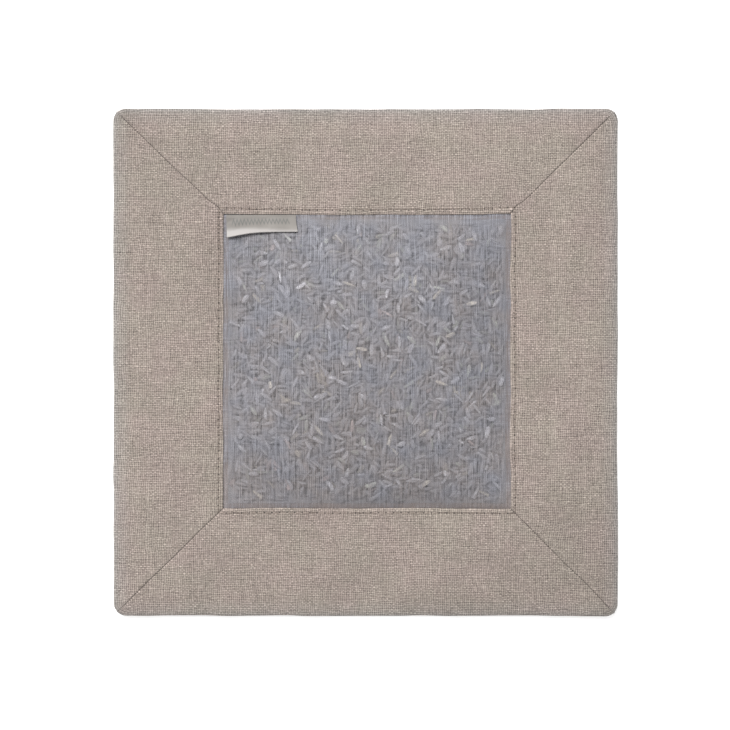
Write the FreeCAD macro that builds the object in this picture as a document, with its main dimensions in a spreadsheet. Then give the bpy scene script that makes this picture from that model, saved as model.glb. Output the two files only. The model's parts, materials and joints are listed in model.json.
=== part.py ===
"""A square herbal compress pad: a linen cover with a mitred border and a sheer window over a pocket of dried herbs.

The pad lies on its back face, which is the plane z = 0, with the window facing +Z. The origin is the middle of the
back face, and +Y points at the edge that holds the label. All sizes are millimetres.

From the table upwards the layers are the linen back panel with its turned-in seam allowance, the cotton lining of
the pocket, the herbs, the sheer window panel, and the four border strips with their own turned-in allowances and a
stiffening interlining inside each. Threads lie in grooves, because sewing thread sinks into the cloth.
"""

import FreeCAD, Part
import math
import os

import Sketcher
from FreeCAD import Placement, Rotation, Vector

DRIVING = {
    "pad_side": 200.0,          # outer side of the pad
    "corner_radius": 3.0,       # outer corners, where the cloth is turned out
    "border_width": 42.5,       # from the outer edge to the window's folded hem
    "linen_thick": 0.5,
    "turned_width": 8.0,        # seam allowances and the hem, folded under
    "fold_radius": 0.4,         # rounding of each fold
    "mitre_gap": 0.3,           # valley between two strips at a corner seam
    "seam_rise": 0.3,           # height that the hidden edge seam adds between back and strips
    "layer_slack": 0.02,        # space between two layers that only touch
    "lining_thick": 0.14,
    "lining_hem": 0.16,         # the lining's edge, folded over once more
    "sheer_thick": 0.1,
    "interlining_thick": 0.45,
    "interlining_play": 0.1,    # room round each interlining inside its strip
    "window_rise": 8.5,         # crown of the sheer panel above its sewn margin
    "sheer_flat": 0.5,          # level strip of the sheer panel inside the hem's fold
    "herb_rise": 8.3,
    "herb_inset": 2.0,          # clear band between the herbs and the hem
    "herb_edge": 0.15,          # height of the herbs at their outer edge
    "thread_width": 0.26,
    "fine_thread": 0.2,
    "groove_width": 0.4,
    "stitch_inset": 1.8,        # topstitch line, measured from the hem's fold
    "edge_seam_inset": 1.2,     # hidden edge seam, measured from the outer edge
    "pocket_seam_inset": 6.5,   # pocket seam, measured outwards from the hem's fold
    "label_width": 28.2,
    "label_left": 1.1,          # from the window's left edge to the label
    "label_drop": 9.6,          # length of the loose flap
    "label_thick": 0.3,         # two layers of woven tape
    "label_tab_length": 5.5,    # the part that is sewn in under the hem
    "label_stand_off": 0.15,    # between the hem's fold and the tape
    "label_lift": 12.0,         # degrees above the table plane where the flap rests on the window
}

# Places and heights, as expressions of the driving dimensions.
HALF = "dims.pad_side / 2"
WINDOW_HALF = "(dims.pad_side / 2 - dims.border_width)"
BACK_TOP = "dims.linen_thick"
STRIP_UNDER = "(2 * dims.linen_thick + dims.seam_rise)"
FACE_UNDER = "(3 * dims.linen_thick + dims.seam_rise)"
STRIP_TOP = "(4 * dims.linen_thick + dims.seam_rise)"
LINING_UNDER = "(dims.linen_thick + dims.layer_slack)"
LINING_TOP = "(dims.linen_thick + dims.layer_slack + dims.lining_thick)"
SHEER_UNDER = "(dims.linen_thick + 2 * dims.layer_slack + dims.lining_thick + dims.lining_hem)"

SIDES = ("top", "left", "bottom", "right")
CORNERS = ("top_right", "top_left", "bottom_left", "bottom_right")
CROWN_POWER = 3.0       # how flat the filled pocket is in its middle
CROWN_POINTS = 25       # points across each way of the crowned surfaces
NEAR = 1e-4

doc = FreeCAD.newDocument("herbal_compress_pad")


def make_sheet():
    """Writes the driving dimensions as plain numbers with an alias each."""
    sheet = doc.addObject("Spreadsheet::Sheet", "dims")
    for row, (alias, number) in enumerate(DRIVING.items(), start=1):
        sheet.set(f"A{row}", alias)
        sheet.set(f"B{row}", str(number))
        sheet.setAlias(f"B{row}", alias)
    doc.recompute()
    return sheet


dims = make_sheet()
half = dims.pad_side / 2
window_half = half - dims.border_width
strip_under = 2 * dims.linen_thick + dims.seam_rise
strip_top = strip_under + 2 * dims.linen_thick
sheer_under = dims.linen_thick + 2 * dims.layer_slack + dims.lining_thick + dims.lining_hem


def new_body(label):
    body = doc.addObject("PartDesign::Body", label)
    body.Label = label
    return body


def new_sketch(body, name, plane="XY_Plane", height=None):
    """A sketch on one of the body's origin planes, lifted by an expression along the plane's normal."""
    sketch = body.newObject("Sketcher::SketchObject", name)
    support = next(f for f in body.Origin.OriginFeatures if f.Role == plane)
    sketch.AttachmentSupport = [(support, "")]
    sketch.MapMode = "FlatFace"
    if height:
        sketch.setExpression(".AttachmentOffset.Base.z", height)
    return sketch


def bind(sketch, kind, references, expression, start):
    """Adds a dimension that follows an expression; start is its value before the first solve."""
    index = sketch.addConstraint(Sketcher.Constraint(kind, *references, start))
    sketch.setExpression(f"Constraints[{index}]", expression)


def add_polygon(sketch, points):
    """Adds a closed run of straight lines and returns the number of its first line."""
    first = sketch.GeometryCount
    count = len(points)
    for i, point in enumerate(points):
        end = points[(i + 1) % count]
        sketch.addGeometry(Part.LineSegment(Vector(*point, 0), Vector(*end, 0)), False)
    for i in range(count):
        sketch.addConstraint(Sketcher.Constraint("Coincident", first + i, 2, first + (i + 1) % count, 1))
    return first


def add_square(sketch, expression, start):
    """A square centred on the sketch's origin, with its half side set by an expression."""
    first = add_polygon(sketch, [(-start, -start), (start, -start), (start, start), (-start, start)])
    for i in (0, 2):
        sketch.addConstraint(Sketcher.Constraint("Horizontal", first + i))
    for i in (1, 3):
        sketch.addConstraint(Sketcher.Constraint("Vertical", first + i))
    sketch.addConstraint(Sketcher.Constraint("Symmetric", first, 1, first + 1, 2, -1, 1))
    bind(sketch, "Distance", (first,), f"2 * ({expression})", 2 * start)
    bind(sketch, "Distance", (first + 1,), f"2 * ({expression})", 2 * start)


def add_rectangle(sketch, left, right, low, high):
    """A rectangle between four (expression, start) pairs."""
    (x0, x1, y0, y1) = (left[1], right[1], low[1], high[1])
    first = add_polygon(sketch, [(x0, y0), (x1, y0), (x1, y1), (x0, y1)])
    for i in (0, 2):
        sketch.addConstraint(Sketcher.Constraint("Horizontal", first + i))
    for i in (1, 3):
        sketch.addConstraint(Sketcher.Constraint("Vertical", first + i))
    bind(sketch, "DistanceX", (-1, 1, first, 1), left[0], x0)
    bind(sketch, "DistanceX", (-1, 1, first + 1, 2), right[0], x1)
    bind(sketch, "DistanceY", (-1, 1, first, 1), low[0], y0)
    bind(sketch, "DistanceY", (-1, 1, first + 1, 2), high[0], y1)


def add_rounded_square(sketch, half_side, radius, starts):
    """A centred square with tangent corner arcs: half_side and radius are expressions, starts their first values."""
    reach, round_start = starts
    inner = reach - round_start
    lines, arcs = [], []
    for k in range(4):
        turn = Rotation(Vector(0, 0, 1), 90 * k)
        start = turn.multVec(Vector(inner, -reach, 0))
        end = turn.multVec(Vector(-inner, -reach, 0))
        lines.append(sketch.addGeometry(Part.LineSegment(end, start), False))
        circle = Part.Circle(turn.multVec(Vector(inner, -inner, 0)), Vector(0, 0, 1), round_start)
        begin = math.radians(90 * k - 90)
        arcs.append(sketch.addGeometry(Part.ArcOfCircle(circle, begin, begin + math.pi / 2), False))
    for k in range(4):
        sketch.addConstraint(Sketcher.Constraint("Tangent", lines[k], 2, arcs[k], 1))
        sketch.addConstraint(Sketcher.Constraint("Tangent", arcs[k], 2, lines[(k + 1) % 4], 1))
        sketch.addConstraint(Sketcher.Constraint(("Horizontal", "Vertical")[k % 2], lines[k]))
    for k in (1, 2, 3):
        sketch.addConstraint(Sketcher.Constraint("Equal", arcs[0], arcs[k]))
    sketch.addConstraint(Sketcher.Constraint("Symmetric", lines[0], 1, lines[2], 1, -1, 1))
    bind(sketch, "Radius", (arcs[0],), radius, round_start)
    bind(sketch, "DistanceY", (lines[0], 1, lines[2], 1), f"2 * ({half_side})", 2 * reach)
    bind(sketch, "DistanceX", (lines[3], 1, lines[1], 1), f"2 * ({half_side})", 2 * reach)
    return lines, arcs


def pad(body, name, sketch, length):
    feature = body.newObject("PartDesign::Pad", name)
    feature.Profile = sketch
    feature.setExpression("Length", length)
    doc.recompute()
    return feature


def pocket(body, name, sketch, length, upward=False):
    """Cuts away from the sketch, downwards unless upward is set, and checks that it removed cloth."""
    before = body.Shape.Volume
    feature = body.newObject("PartDesign::Pocket", name)
    feature.Profile = sketch
    feature.Reversed = upward
    feature.setExpression("Length", length)
    doc.recompute()
    if body.Shape.Volume >= before - NEAR:
        raise RuntimeError(f"{body.Label}: pocket {name} cut nothing")
    return feature


def fillet(body, name, base, chosen, radius):
    """Rounds the edges of the base feature that chosen(edge) accepts."""
    edges = [f"Edge{i}" for i, edge in enumerate(base.Shape.Edges, start=1) if chosen(edge)]
    if not edges:
        raise RuntimeError(f"{body.Label}: fillet {name} found no edge")
    feature = body.newObject("PartDesign::Fillet", name)
    feature.Base = (base, edges)
    feature.setExpression("Radius", radius)
    doc.recompute()
    return feature


def span(edge, axis):
    """Lowest and highest coordinate of an edge along an axis, 0 to 2."""
    box = edge.BoundBox
    return ((box.XMin, box.XMax), (box.YMin, box.YMax), (box.ZMin, box.ZMax))[axis]


def lies_at(edge, axis, place):
    low, high = span(edge, axis)
    return abs(low - place) < NEAR and abs(high - place) < NEAR


def add_strip_outline(sketch):
    """The top strip from above: a straight outer edge, half of each rounded corner, two mitres and the hem's fold."""
    radius, gap = dims.corner_radius, dims.mitre_gap / 2
    centre = half - radius
    lean = math.pi / 4 + math.asin(gap / radius)
    up = Vector(0, 0, 1)
    reach = centre + radius * math.cos(lean)
    rise = centre + radius * math.sin(lean)
    hem_end = window_half - gap * math.sqrt(2)
    top = sketch.addGeometry(Part.LineSegment(Vector(-centre, half, 0), Vector(centre, half, 0)), False)
    right_round = Part.Circle(Vector(centre, centre, 0), up, radius)
    right_arc = sketch.addGeometry(Part.ArcOfCircle(right_round, lean, math.pi / 2), False)
    right_mitre = sketch.addGeometry(
        Part.LineSegment(Vector(reach, rise, 0), Vector(hem_end, window_half, 0)), False)
    hem = sketch.addGeometry(
        Part.LineSegment(Vector(hem_end, window_half, 0), Vector(-hem_end, window_half, 0)), False)
    left_mitre = sketch.addGeometry(
        Part.LineSegment(Vector(-hem_end, window_half, 0), Vector(-reach, rise, 0)), False)
    left_round = Part.Circle(Vector(-centre, centre, 0), up, radius)
    left_arc = sketch.addGeometry(Part.ArcOfCircle(left_round, math.pi / 2, math.pi - lean), False)
    for rule in (
        ("Tangent", top, 2, right_arc, 2),
        ("Tangent", top, 1, left_arc, 1),
        ("Coincident", right_arc, 1, right_mitre, 1),
        ("Coincident", right_mitre, 2, hem, 1),
        ("Coincident", hem, 2, left_mitre, 1),
        ("Coincident", left_mitre, 2, left_arc, 2),
        ("Equal", right_arc, left_arc),
        ("Equal", right_mitre, left_mitre),
        ("Symmetric", top, 1, top, 2, -2),
        ("Symmetric", hem, 1, hem, 2, -2),
    ):
        sketch.addConstraint(Sketcher.Constraint(*rule))
    corner_x = (f"{HALF} - dims.corner_radius + dims.corner_radius"
                " * cos(45 deg + asin(dims.mitre_gap / 2 / dims.corner_radius))")
    bind(sketch, "Radius", (right_arc,), "dims.corner_radius", radius)
    bind(sketch, "DistanceX", (-1, 1, top, 2), f"{HALF} - dims.corner_radius", centre)
    bind(sketch, "DistanceY", (-1, 1, top, 2), HALF, half)
    bind(sketch, "DistanceY", (-1, 1, hem, 1), WINDOW_HALF, window_half)
    bind(sketch, "DistanceX", (-1, 1, hem, 1), f"{WINDOW_HALF} - dims.mitre_gap / sqrt(2)", hem_end)
    bind(sketch, "DistanceX", (-1, 1, right_mitre, 1), corner_x, reach)


def add_strip_hollow(sketch, play, play_start):
    """The middle of the strip, inside its turned-in allowances, drawn in by a further play all round."""
    inset = dims.turned_width + play_start
    slant = (dims.mitre_gap / 2 + inset) * math.sqrt(2)
    high, low = half - inset, window_half + inset
    first = add_polygon(sketch, [(slant - high, high), (slant - low, low), (low - slant, low), (high - slant, high)])
    inset_text = f"(dims.turned_width + {play})"
    slant_text = f"(dims.mitre_gap / 2 + {inset_text}) * sqrt(2)"
    sketch.addConstraint(Sketcher.Constraint("Symmetric", first, 1, first + 3, 1, -2))
    sketch.addConstraint(Sketcher.Constraint("Symmetric", first + 1, 1, first + 2, 1, -2))
    bind(sketch, "DistanceY", (-1, 1, first + 3, 1), f"{HALF} - {inset_text}", high)
    bind(sketch, "DistanceY", (-1, 1, first + 2, 1), f"{WINDOW_HALF} + {inset_text}", low)
    bind(sketch, "DistanceX", (-1, 1, first + 3, 1), f"{HALF} - {inset_text} - {slant_text}", high - slant)
    bind(sketch, "DistanceX", (-1, 1, first + 2, 1), f"{WINDOW_HALF} + {inset_text} - {slant_text}", low - slant)


def make_border_strip(side, angle):
    """One linen strip: its face, the allowances folded under it all round, rounded folds and the stitch groove."""
    body = new_body(f"border_strip_{side}")
    face_sketch = new_sketch(body, f"face_outline_{side}", height=FACE_UNDER)
    add_strip_outline(face_sketch)
    pad(body, f"face_{side}", face_sketch, "dims.linen_thick")

    turned_sketch = new_sketch(body, f"turned_outline_{side}", height=STRIP_UNDER)
    add_strip_outline(turned_sketch)
    add_strip_hollow(turned_sketch, "0", 0.0)
    turned = pad(body, f"turned_allowances_{side}", turned_sketch, "dims.linen_thick")

    def fold_edge(edge):
        on_hem = lies_at(edge, 1, window_half) and span(edge, 0)[1] - span(edge, 0)[0] > 1
        at_top = lies_at(edge, 2, strip_top)
        outer = at_top and span(edge, 1)[1] > half - dims.corner_radius and span(edge, 1)[0] > half - 1.5
        return outer or (on_hem and (at_top or lies_at(edge, 2, strip_under)))

    fillet(body, f"folds_{side}", turned, fold_edge, "dims.fold_radius")

    line = f"{WINDOW_HALF} + dims.stitch_inset"
    line_start = window_half + dims.stitch_inset
    side_start = dims.groove_width / 2
    groove_sketch = new_sketch(body, f"groove_outline_{side}", height=STRIP_TOP)
    add_rectangle(
        groove_sketch,
        (f"-({line} + dims.groove_width / 2)", -(line_start + side_start)),
        (f"{line} + dims.groove_width / 2", line_start + side_start),
        (f"{line} - dims.groove_width / 2", line_start - side_start),
        (f"{line} + dims.groove_width / 2", line_start + side_start),
    )
    pocket(body, f"stitch_groove_{side}", groove_sketch, "dims.thread_width + 2 * dims.layer_slack")
    body.Placement = Placement(Vector(0, 0, 0), Rotation(Vector(0, 0, 1), angle))
    return body


def make_interlining(side, angle):
    """The stiffener that is ironed on inside one strip and keeps the border flat."""
    body = new_body(f"interlining_{side}")
    sketch = new_sketch(body, f"interlining_outline_{side}", height=f"{STRIP_UNDER} + dims.layer_slack")
    add_strip_hollow(sketch, "dims.interlining_play", dims.interlining_play)
    pad(body, f"interlining_pad_{side}", sketch, "dims.interlining_thick")
    body.Placement = Placement(Vector(0, 0, 0), Rotation(Vector(0, 0, 1), angle))
    return body


def make_back_panel():
    """The linen back: a plate, its turned-in allowance, and grooves for the bobbin thread and the edge seam."""
    body = new_body("back_panel")
    plate_sketch = new_sketch(body, "back_outline")
    add_rounded_square(plate_sketch, HALF, "dims.corner_radius", (half, dims.corner_radius))
    pad(body, "back_plate", plate_sketch, "dims.linen_thick")

    rim_sketch = new_sketch(body, "rim_outline", height=BACK_TOP)
    add_rounded_square(rim_sketch, HALF, "dims.corner_radius", (half, dims.corner_radius))
    add_square(rim_sketch, f"{HALF} - dims.turned_width", half - dims.turned_width)
    rim = pad(body, "turned_allowance", rim_sketch, "dims.linen_thick + dims.seam_rise - dims.layer_slack")

    def outer_fold(edge):
        return lies_at(edge, 2, 0) and edge.BoundBox.Center.Length > half - dims.corner_radius - 1

    fillet(body, "outer_fold", rim, outer_fold, "dims.fold_radius")

    line, line_start = f"{WINDOW_HALF} + dims.stitch_inset", window_half + dims.stitch_inset
    bobbin_sketch = new_sketch(body, "bobbin_groove_outline")
    add_square(bobbin_sketch, f"{line} + dims.groove_width / 2", line_start + dims.groove_width / 2)
    add_square(bobbin_sketch, f"{line} - dims.groove_width / 2", line_start - dims.groove_width / 2)
    pocket(body, "bobbin_groove", bobbin_sketch, "dims.thread_width + 2 * dims.layer_slack", upward=True)

    seam, seam_start = f"{HALF} - dims.edge_seam_inset", half - dims.edge_seam_inset
    seam_sketch = new_sketch(body, "seam_groove_outline", height=f"{STRIP_UNDER} - dims.layer_slack")
    add_square(seam_sketch, f"{seam} + dims.groove_width / 2", seam_start + dims.groove_width / 2)
    add_square(seam_sketch, f"{seam} - dims.groove_width / 2", seam_start - dims.groove_width / 2)
    pocket(body, "seam_groove", seam_sketch, "dims.seam_rise - dims.layer_slack")
    return body


def make_thread_loop(label, reach, reach_start, height, height_start, width, width_start):
    """One closed run of thread round the pad: a round section carried along a square with small corner arcs."""
    body = new_body(label)
    path = new_sketch(body, f"{label}_path", height=height)
    lines, arcs = add_rounded_square(path, reach, "dims.groove_width / 2", (reach_start, dims.groove_width / 2))
    section = new_sketch(body, f"{label}_section", plane="YZ_Plane")
    centre = Vector(-reach_start, height_start, 0)
    circle = section.addGeometry(Part.Circle(centre, Vector(0, 0, 1), width_start / 2), False)
    bind(section, "Radius", (circle,), f"{width} / 2", width_start / 2)
    bind(section, "DistanceX", (-1, 1, circle, 3), f"-({reach})", -reach_start)
    bind(section, "DistanceY", (-1, 1, circle, 3), height, height_start)
    doc.recompute()
    pipe = body.newObject("PartDesign::AdditivePipe", f"{label}_run")
    pipe.Profile = section
    pipe.Spine = (path, [f"Edge{i}" for i in range(1, len(lines) + len(arcs) + 1)])
    doc.recompute()
    return body


def make_threads():
    """The window's topstitch with its bobbin thread, the hidden edge seam and the pocket's own seam."""
    stitch, stitch_start = f"{WINDOW_HALF} + dims.stitch_inset", window_half + dims.stitch_inset
    thread = dims.thread_width
    drop = f"(dims.thread_width / 2 + dims.layer_slack)"
    drop_start = thread / 2 + dims.layer_slack
    pocket_rise = f"{SHEER_UNDER} + dims.sheer_thick + dims.layer_slack + dims.fine_thread / 2"
    pocket_start = sheer_under + dims.sheer_thick + dims.layer_slack + dims.fine_thread / 2
    runs = [
        make_thread_loop("window_topstitch_thread", stitch, stitch_start,
                         f"{STRIP_TOP} - {drop}", strip_top - drop_start, "dims.thread_width", thread),
        make_thread_loop("window_bobbin_thread", stitch, stitch_start,
                         drop, drop_start, "dims.thread_width", thread),
        make_thread_loop("edge_seam_thread", f"{HALF} - dims.edge_seam_inset", half - dims.edge_seam_inset,
                         f"{STRIP_UNDER} - {drop}", strip_under - drop_start, "dims.thread_width", thread),
        make_thread_loop("pocket_seam_thread", f"{WINDOW_HALF} + dims.pocket_seam_inset",
                         window_half + dims.pocket_seam_inset, pocket_rise, pocket_start,
                         "dims.fine_thread", dims.fine_thread),
    ]
    return runs


def make_mitre_thread(corner, angle):
    """The thread of one corner seam, sunk in the valley between two strips and running out along the diagonal."""
    thread = doc.addObject("Part::Cylinder", f"mitre_seam_{corner}")
    thread.Label = f"mitre_seam_{corner}"
    thread.setExpression("Radius", "dims.fine_thread / 2")
    thread.setExpression("Height", "(dims.border_width - dims.corner_radius) * sqrt(2)")
    start = (window_half + dims.corner_radius / 4) * math.sqrt(2)
    outward = Rotation(Vector(0, 0, 1), angle).multVec(Vector(1, 0, 0))
    thread.Placement = Placement(outward * start + Vector(0, 0, strip_under + dims.linen_thick / 2),
                                 Rotation(Vector(0, 0, 1), outward))
    return thread


def make_pocket_lining():
    """The thin cotton behind the herbs, with its edge folded over so that it meets the sheer panel's margin."""
    body = new_body("pocket_lining")
    reach, reach_start = f"{WINDOW_HALF} + dims.turned_width", window_half + dims.turned_width
    plate_sketch = new_sketch(body, "lining_outline", height=LINING_UNDER)
    add_square(plate_sketch, reach, reach_start)
    pad(body, "lining_plate", plate_sketch, "dims.lining_thick")
    hem_sketch = new_sketch(body, "lining_hem_outline", height=LINING_TOP)
    add_square(hem_sketch, reach, reach_start)
    add_square(hem_sketch, WINDOW_HALF, window_half)
    pad(body, "lining_folded_edge", hem_sketch, "dims.lining_hem")
    return body


def crowned_face(reach, edge_height, rise):
    """A smooth pillow-topped face over a square: level along its edges and crowned in its middle."""
    def share(t):
        return 1 - abs(t) ** CROWN_POWER

    steps = [2 * i / (CROWN_POINTS - 1) - 1 for i in range(CROWN_POINTS)]
    grid = [[Vector(reach * u, reach * v, edge_height + rise * share(u) * share(v)) for v in steps] for u in steps]
    surface = Part.BSplineSurface()
    surface.interpolate(grid)
    return surface.toShape()


def make_sheer_window():
    """The sheer panel: a crowned skin over the herbs and the flat margin that is sewn in under the hem."""
    skin = doc.addObject("Part::Feature", "sheer_crown_face")
    skin.Shape = crowned_face(window_half - dims.sheer_flat, sheer_under, dims.window_rise)
    crown = doc.addObject("Part::Extrusion", "sheer_crown")
    crown.Base = skin
    crown.DirMode = "Custom"
    crown.Dir = Vector(0, 0, 1)
    crown.setExpression("LengthFwd", "dims.sheer_thick")
    crown.Solid = True

    margin_body = new_body("sheer_margin")
    margin_sketch = new_sketch(margin_body, "sheer_margin_outline", height=SHEER_UNDER)
    add_square(margin_sketch, f"{WINDOW_HALF} + dims.turned_width", window_half + dims.turned_width)
    add_square(margin_sketch, f"{WINDOW_HALF} - dims.sheer_flat", window_half - dims.sheer_flat)
    pad(margin_body, "sheer_margin_pad", margin_sketch, "dims.sheer_thick")

    window = doc.addObject("Part::Fuse", "sheer_window")
    window.Label = "sheer_window"
    window.Base = crown
    window.Tool = margin_body
    return window


def make_herb_fill():
    """The herbs as one plain crowned solid that stops short of the hem and stays under the sheer panel."""
    reach = window_half - dims.herb_inset
    floor = dims.linen_thick + 2 * dims.layer_slack + dims.lining_thick
    face = doc.addObject("Part::Feature", "herb_crown_face")
    face.Shape = crowned_face(reach, floor + dims.herb_edge, dims.herb_rise)
    column = doc.addObject("Part::Extrusion", "herb_column")
    column.Base = face
    column.DirMode = "Custom"
    column.Dir = Vector(0, 0, -1)
    column.setExpression("LengthFwd", "dims.herb_rise + 2 * dims.herb_edge")
    column.Solid = True

    room = doc.addObject("Part::Box", "herb_room")
    room.setExpression("Length", "dims.pad_side")
    room.setExpression("Width", "dims.pad_side")
    room.setExpression("Height", "2 * dims.herb_rise")
    room.Placement = Placement(Vector(-half, -half, floor), Rotation())

    fill = doc.addObject("Part::Common", "herb_fill")
    fill.Label = "herb_fill"
    fill.Base = column
    fill.Tool = room
    return fill


def make_label():
    """The folded tape label: a tab sewn in under the hem and rising past it, and the loose flap that turns on it."""
    left = f"-({WINDOW_HALF}) + dims.label_left"
    pivot_y = window_half - dims.label_stand_off - dims.label_thick / 2
    pivot_z = strip_top + dims.label_thick / 2 + 2 * dims.layer_slack + dims.layer_slack / 2
    tab_under = sheer_under + dims.sheer_thick + 2 * dims.layer_slack
    front = f"({WINDOW_HALF} - dims.label_stand_off - dims.label_thick)"
    front_start = window_half - dims.label_stand_off - dims.label_thick
    tab_text = f"({SHEER_UNDER} + dims.sheer_thick + 2 * dims.layer_slack)"

    tab = new_body("label_tab")
    flat_sketch = new_sketch(tab, "tab_flat_outline", plane="YZ_Plane", height=left)
    add_rectangle(
        flat_sketch,
        (front, front_start),
        (f"{WINDOW_HALF} + dims.label_tab_length", window_half + dims.label_tab_length),
        (tab_text, tab_under),
        (f"{tab_text} + dims.label_thick", tab_under + dims.label_thick),
    )
    pad(tab, "tab_flat", flat_sketch, "dims.label_width")
    riser_sketch = new_sketch(tab, "tab_riser_outline", plane="YZ_Plane", height=left)
    add_rectangle(
        riser_sketch,
        (front, front_start),
        (f"{front} + dims.label_thick", front_start + dims.label_thick),
        (tab_text, tab_under),
        (f"{STRIP_TOP} - dims.layer_slack", strip_top - dims.layer_slack),
    )
    pad(tab, "tab_riser", riser_sketch, "dims.label_width")

    flap = new_body("label_flap")
    flap_sketch = new_sketch(flap, "flap_outline", plane="YZ_Plane", height=left)
    thick = dims.label_thick
    pivot, tip = Vector(0, 0, 0), Vector(-dims.label_drop, 0, 0)
    side = Vector(0, thick / 2, 0)
    upper = flap_sketch.addGeometry(Part.LineSegment(pivot + side, tip + side), False)
    hem_fold = flap_sketch.addGeometry(
        Part.ArcOfCircle(Part.Circle(tip, Vector(0, 0, 1), thick / 2), math.pi / 2, 3 * math.pi / 2), False)
    lower = flap_sketch.addGeometry(Part.LineSegment(tip - side, pivot - side), False)
    knuckle = flap_sketch.addGeometry(
        Part.ArcOfCircle(Part.Circle(pivot, Vector(0, 0, 1), thick / 2), -math.pi / 2, math.pi / 2), False)
    for rule in (
        ("Tangent", upper, 2, hem_fold, 1),
        ("Tangent", hem_fold, 2, lower, 1),
        ("Tangent", lower, 2, knuckle, 1),
        ("Tangent", knuckle, 2, upper, 1),
        ("Coincident", knuckle, 3, -1, 1),
        ("Horizontal", upper),
    ):
        flap_sketch.addConstraint(Sketcher.Constraint(*rule))
    bind(flap_sketch, "Radius", (knuckle,), "dims.label_thick / 2", thick / 2)
    bind(flap_sketch, "Distance", (upper,), "dims.label_drop", dims.label_drop)
    pad(flap, "flap_tape", flap_sketch, "dims.label_width")
    lift = Rotation(Vector(1, 0, 0), -dims.label_lift)
    flap.Placement = Placement(Vector(0, pivot_y, pivot_z), lift)
    return [tab, flap]


def check_document():
    """Stops the build if any object failed or any sub-part has no sound shape."""
    for item in doc.Objects:
        if "Invalid" in item.State or "Error" in item.State:
            raise RuntimeError(f"{item.Label} is in state {item.State}")


def export(parts):
    """Writes each sub-part to parts/LABEL.step."""
    os.makedirs("parts", exist_ok=True)
    for stale in os.listdir("parts"):
        os.remove(os.path.join("parts", stale))
    for part in parts:
        shape = part.Shape
        if shape.isNull() or not shape.isValid() or not shape.Solids:
            raise RuntimeError(f"{part.Label} has no valid solid")
        shape.exportStep(os.path.join("parts", f"{part.Label}.step"))
        print(f"{part.Label}: {len(shape.Solids)} solid, {shape.Volume:.2f} mm3")


parts = [make_back_panel(), make_pocket_lining(), make_herb_fill(), make_sheer_window()]
for number, name in enumerate(SIDES):
    parts.append(make_border_strip(name, 90 * number))
    parts.append(make_interlining(name, 90 * number))
for number, name in enumerate(CORNERS):
    parts.append(make_mitre_thread(name, 45 + 90 * number))
parts += make_threads()
parts += make_label()
doc.recompute()
check_document()
export(parts)
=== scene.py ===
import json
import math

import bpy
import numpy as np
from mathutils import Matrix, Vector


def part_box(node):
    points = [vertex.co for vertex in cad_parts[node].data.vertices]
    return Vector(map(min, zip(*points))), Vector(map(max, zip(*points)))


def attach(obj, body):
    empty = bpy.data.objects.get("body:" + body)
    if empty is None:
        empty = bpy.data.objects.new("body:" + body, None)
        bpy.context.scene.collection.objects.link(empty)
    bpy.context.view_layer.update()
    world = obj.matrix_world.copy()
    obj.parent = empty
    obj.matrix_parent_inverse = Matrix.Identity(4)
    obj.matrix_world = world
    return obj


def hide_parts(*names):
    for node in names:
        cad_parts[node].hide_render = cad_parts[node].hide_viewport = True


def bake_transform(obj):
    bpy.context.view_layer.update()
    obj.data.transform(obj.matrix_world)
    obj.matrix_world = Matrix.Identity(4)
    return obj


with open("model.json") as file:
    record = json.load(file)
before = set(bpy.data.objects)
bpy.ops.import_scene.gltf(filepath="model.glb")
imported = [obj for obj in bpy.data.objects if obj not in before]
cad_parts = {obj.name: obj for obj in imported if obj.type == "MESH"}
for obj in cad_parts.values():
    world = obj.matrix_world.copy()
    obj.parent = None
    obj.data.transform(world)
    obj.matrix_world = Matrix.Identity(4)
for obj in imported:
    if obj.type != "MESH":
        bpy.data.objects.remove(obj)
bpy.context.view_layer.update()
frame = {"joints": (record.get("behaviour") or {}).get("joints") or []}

# The looks of the herbal compress pad: linen strips with real folds, stitched seams, a sheer window that a
# cloth simulation has swollen over a heap of separate dried buds, and a folded tape label that turns at
# the hem. Everything is in metres in the CAD frame: +Z is out of the window and +Y points at the label's
# edge.

MM = 0.001

# --- Places that come from the CAD frame.
BACK_LOW, BACK_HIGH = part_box("back_panel")
STRIP_LOW, STRIP_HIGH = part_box("border_strip_top")
SHEER_LOW, SHEER_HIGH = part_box("sheer_window")
HERB_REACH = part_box("herb_fill")[1].x
LINING_LOW, LINING_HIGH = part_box("pocket_lining")
NEEDLE_LOW, NEEDLE_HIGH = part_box("window_topstitch_thread")
TAB_LOW, TAB_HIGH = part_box("label_tab")
HINGE = frame["joints"][0]["pos_m"]

HALF = BACK_HIGH.x
WINDOW_HALF = STRIP_LOW.y
THREAD_RADIUS = (NEEDLE_HIGH.z - NEEDLE_LOW.z) / 2
STITCH_LINE = NEEDLE_HIGH.x - THREAD_RADIUS

# --- Sizes of the cloth work that the CAD solids simplify.
CLOTH = 0.45 * MM              # linen
CORNER_RADIUS = 5.0 * MM
MITRE_GAP = 0.12 * MM          # from a strip's end to the diagonal, along the strip
TURNED = 8 * MM                # seam allowances and the hem
EDGE_ROUND = 2.3 * MM          # how far in from the outer edge the face starts to bend down
FOLD_RADIUS = 0.2 * MM         # tight fold at the outer seam
STITCHES_PER_SIDE = 39
STITCH_PITCH = 2 * STITCH_LINE / STITCHES_PER_SIDE
LINEN_PITCH = (0.785 * MM, 0.66 * MM)   # warp and weft, fitted to the pattern the photo shows
SHEER_RIB = 0.79 * MM          # faint ribs of the organza, fitted in the same way
TINY = 1e-9

SIDES = ("top", "left", "bottom", "right")
CORNERS = ("top_right", "top_left", "bottom_left", "bottom_right")


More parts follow.
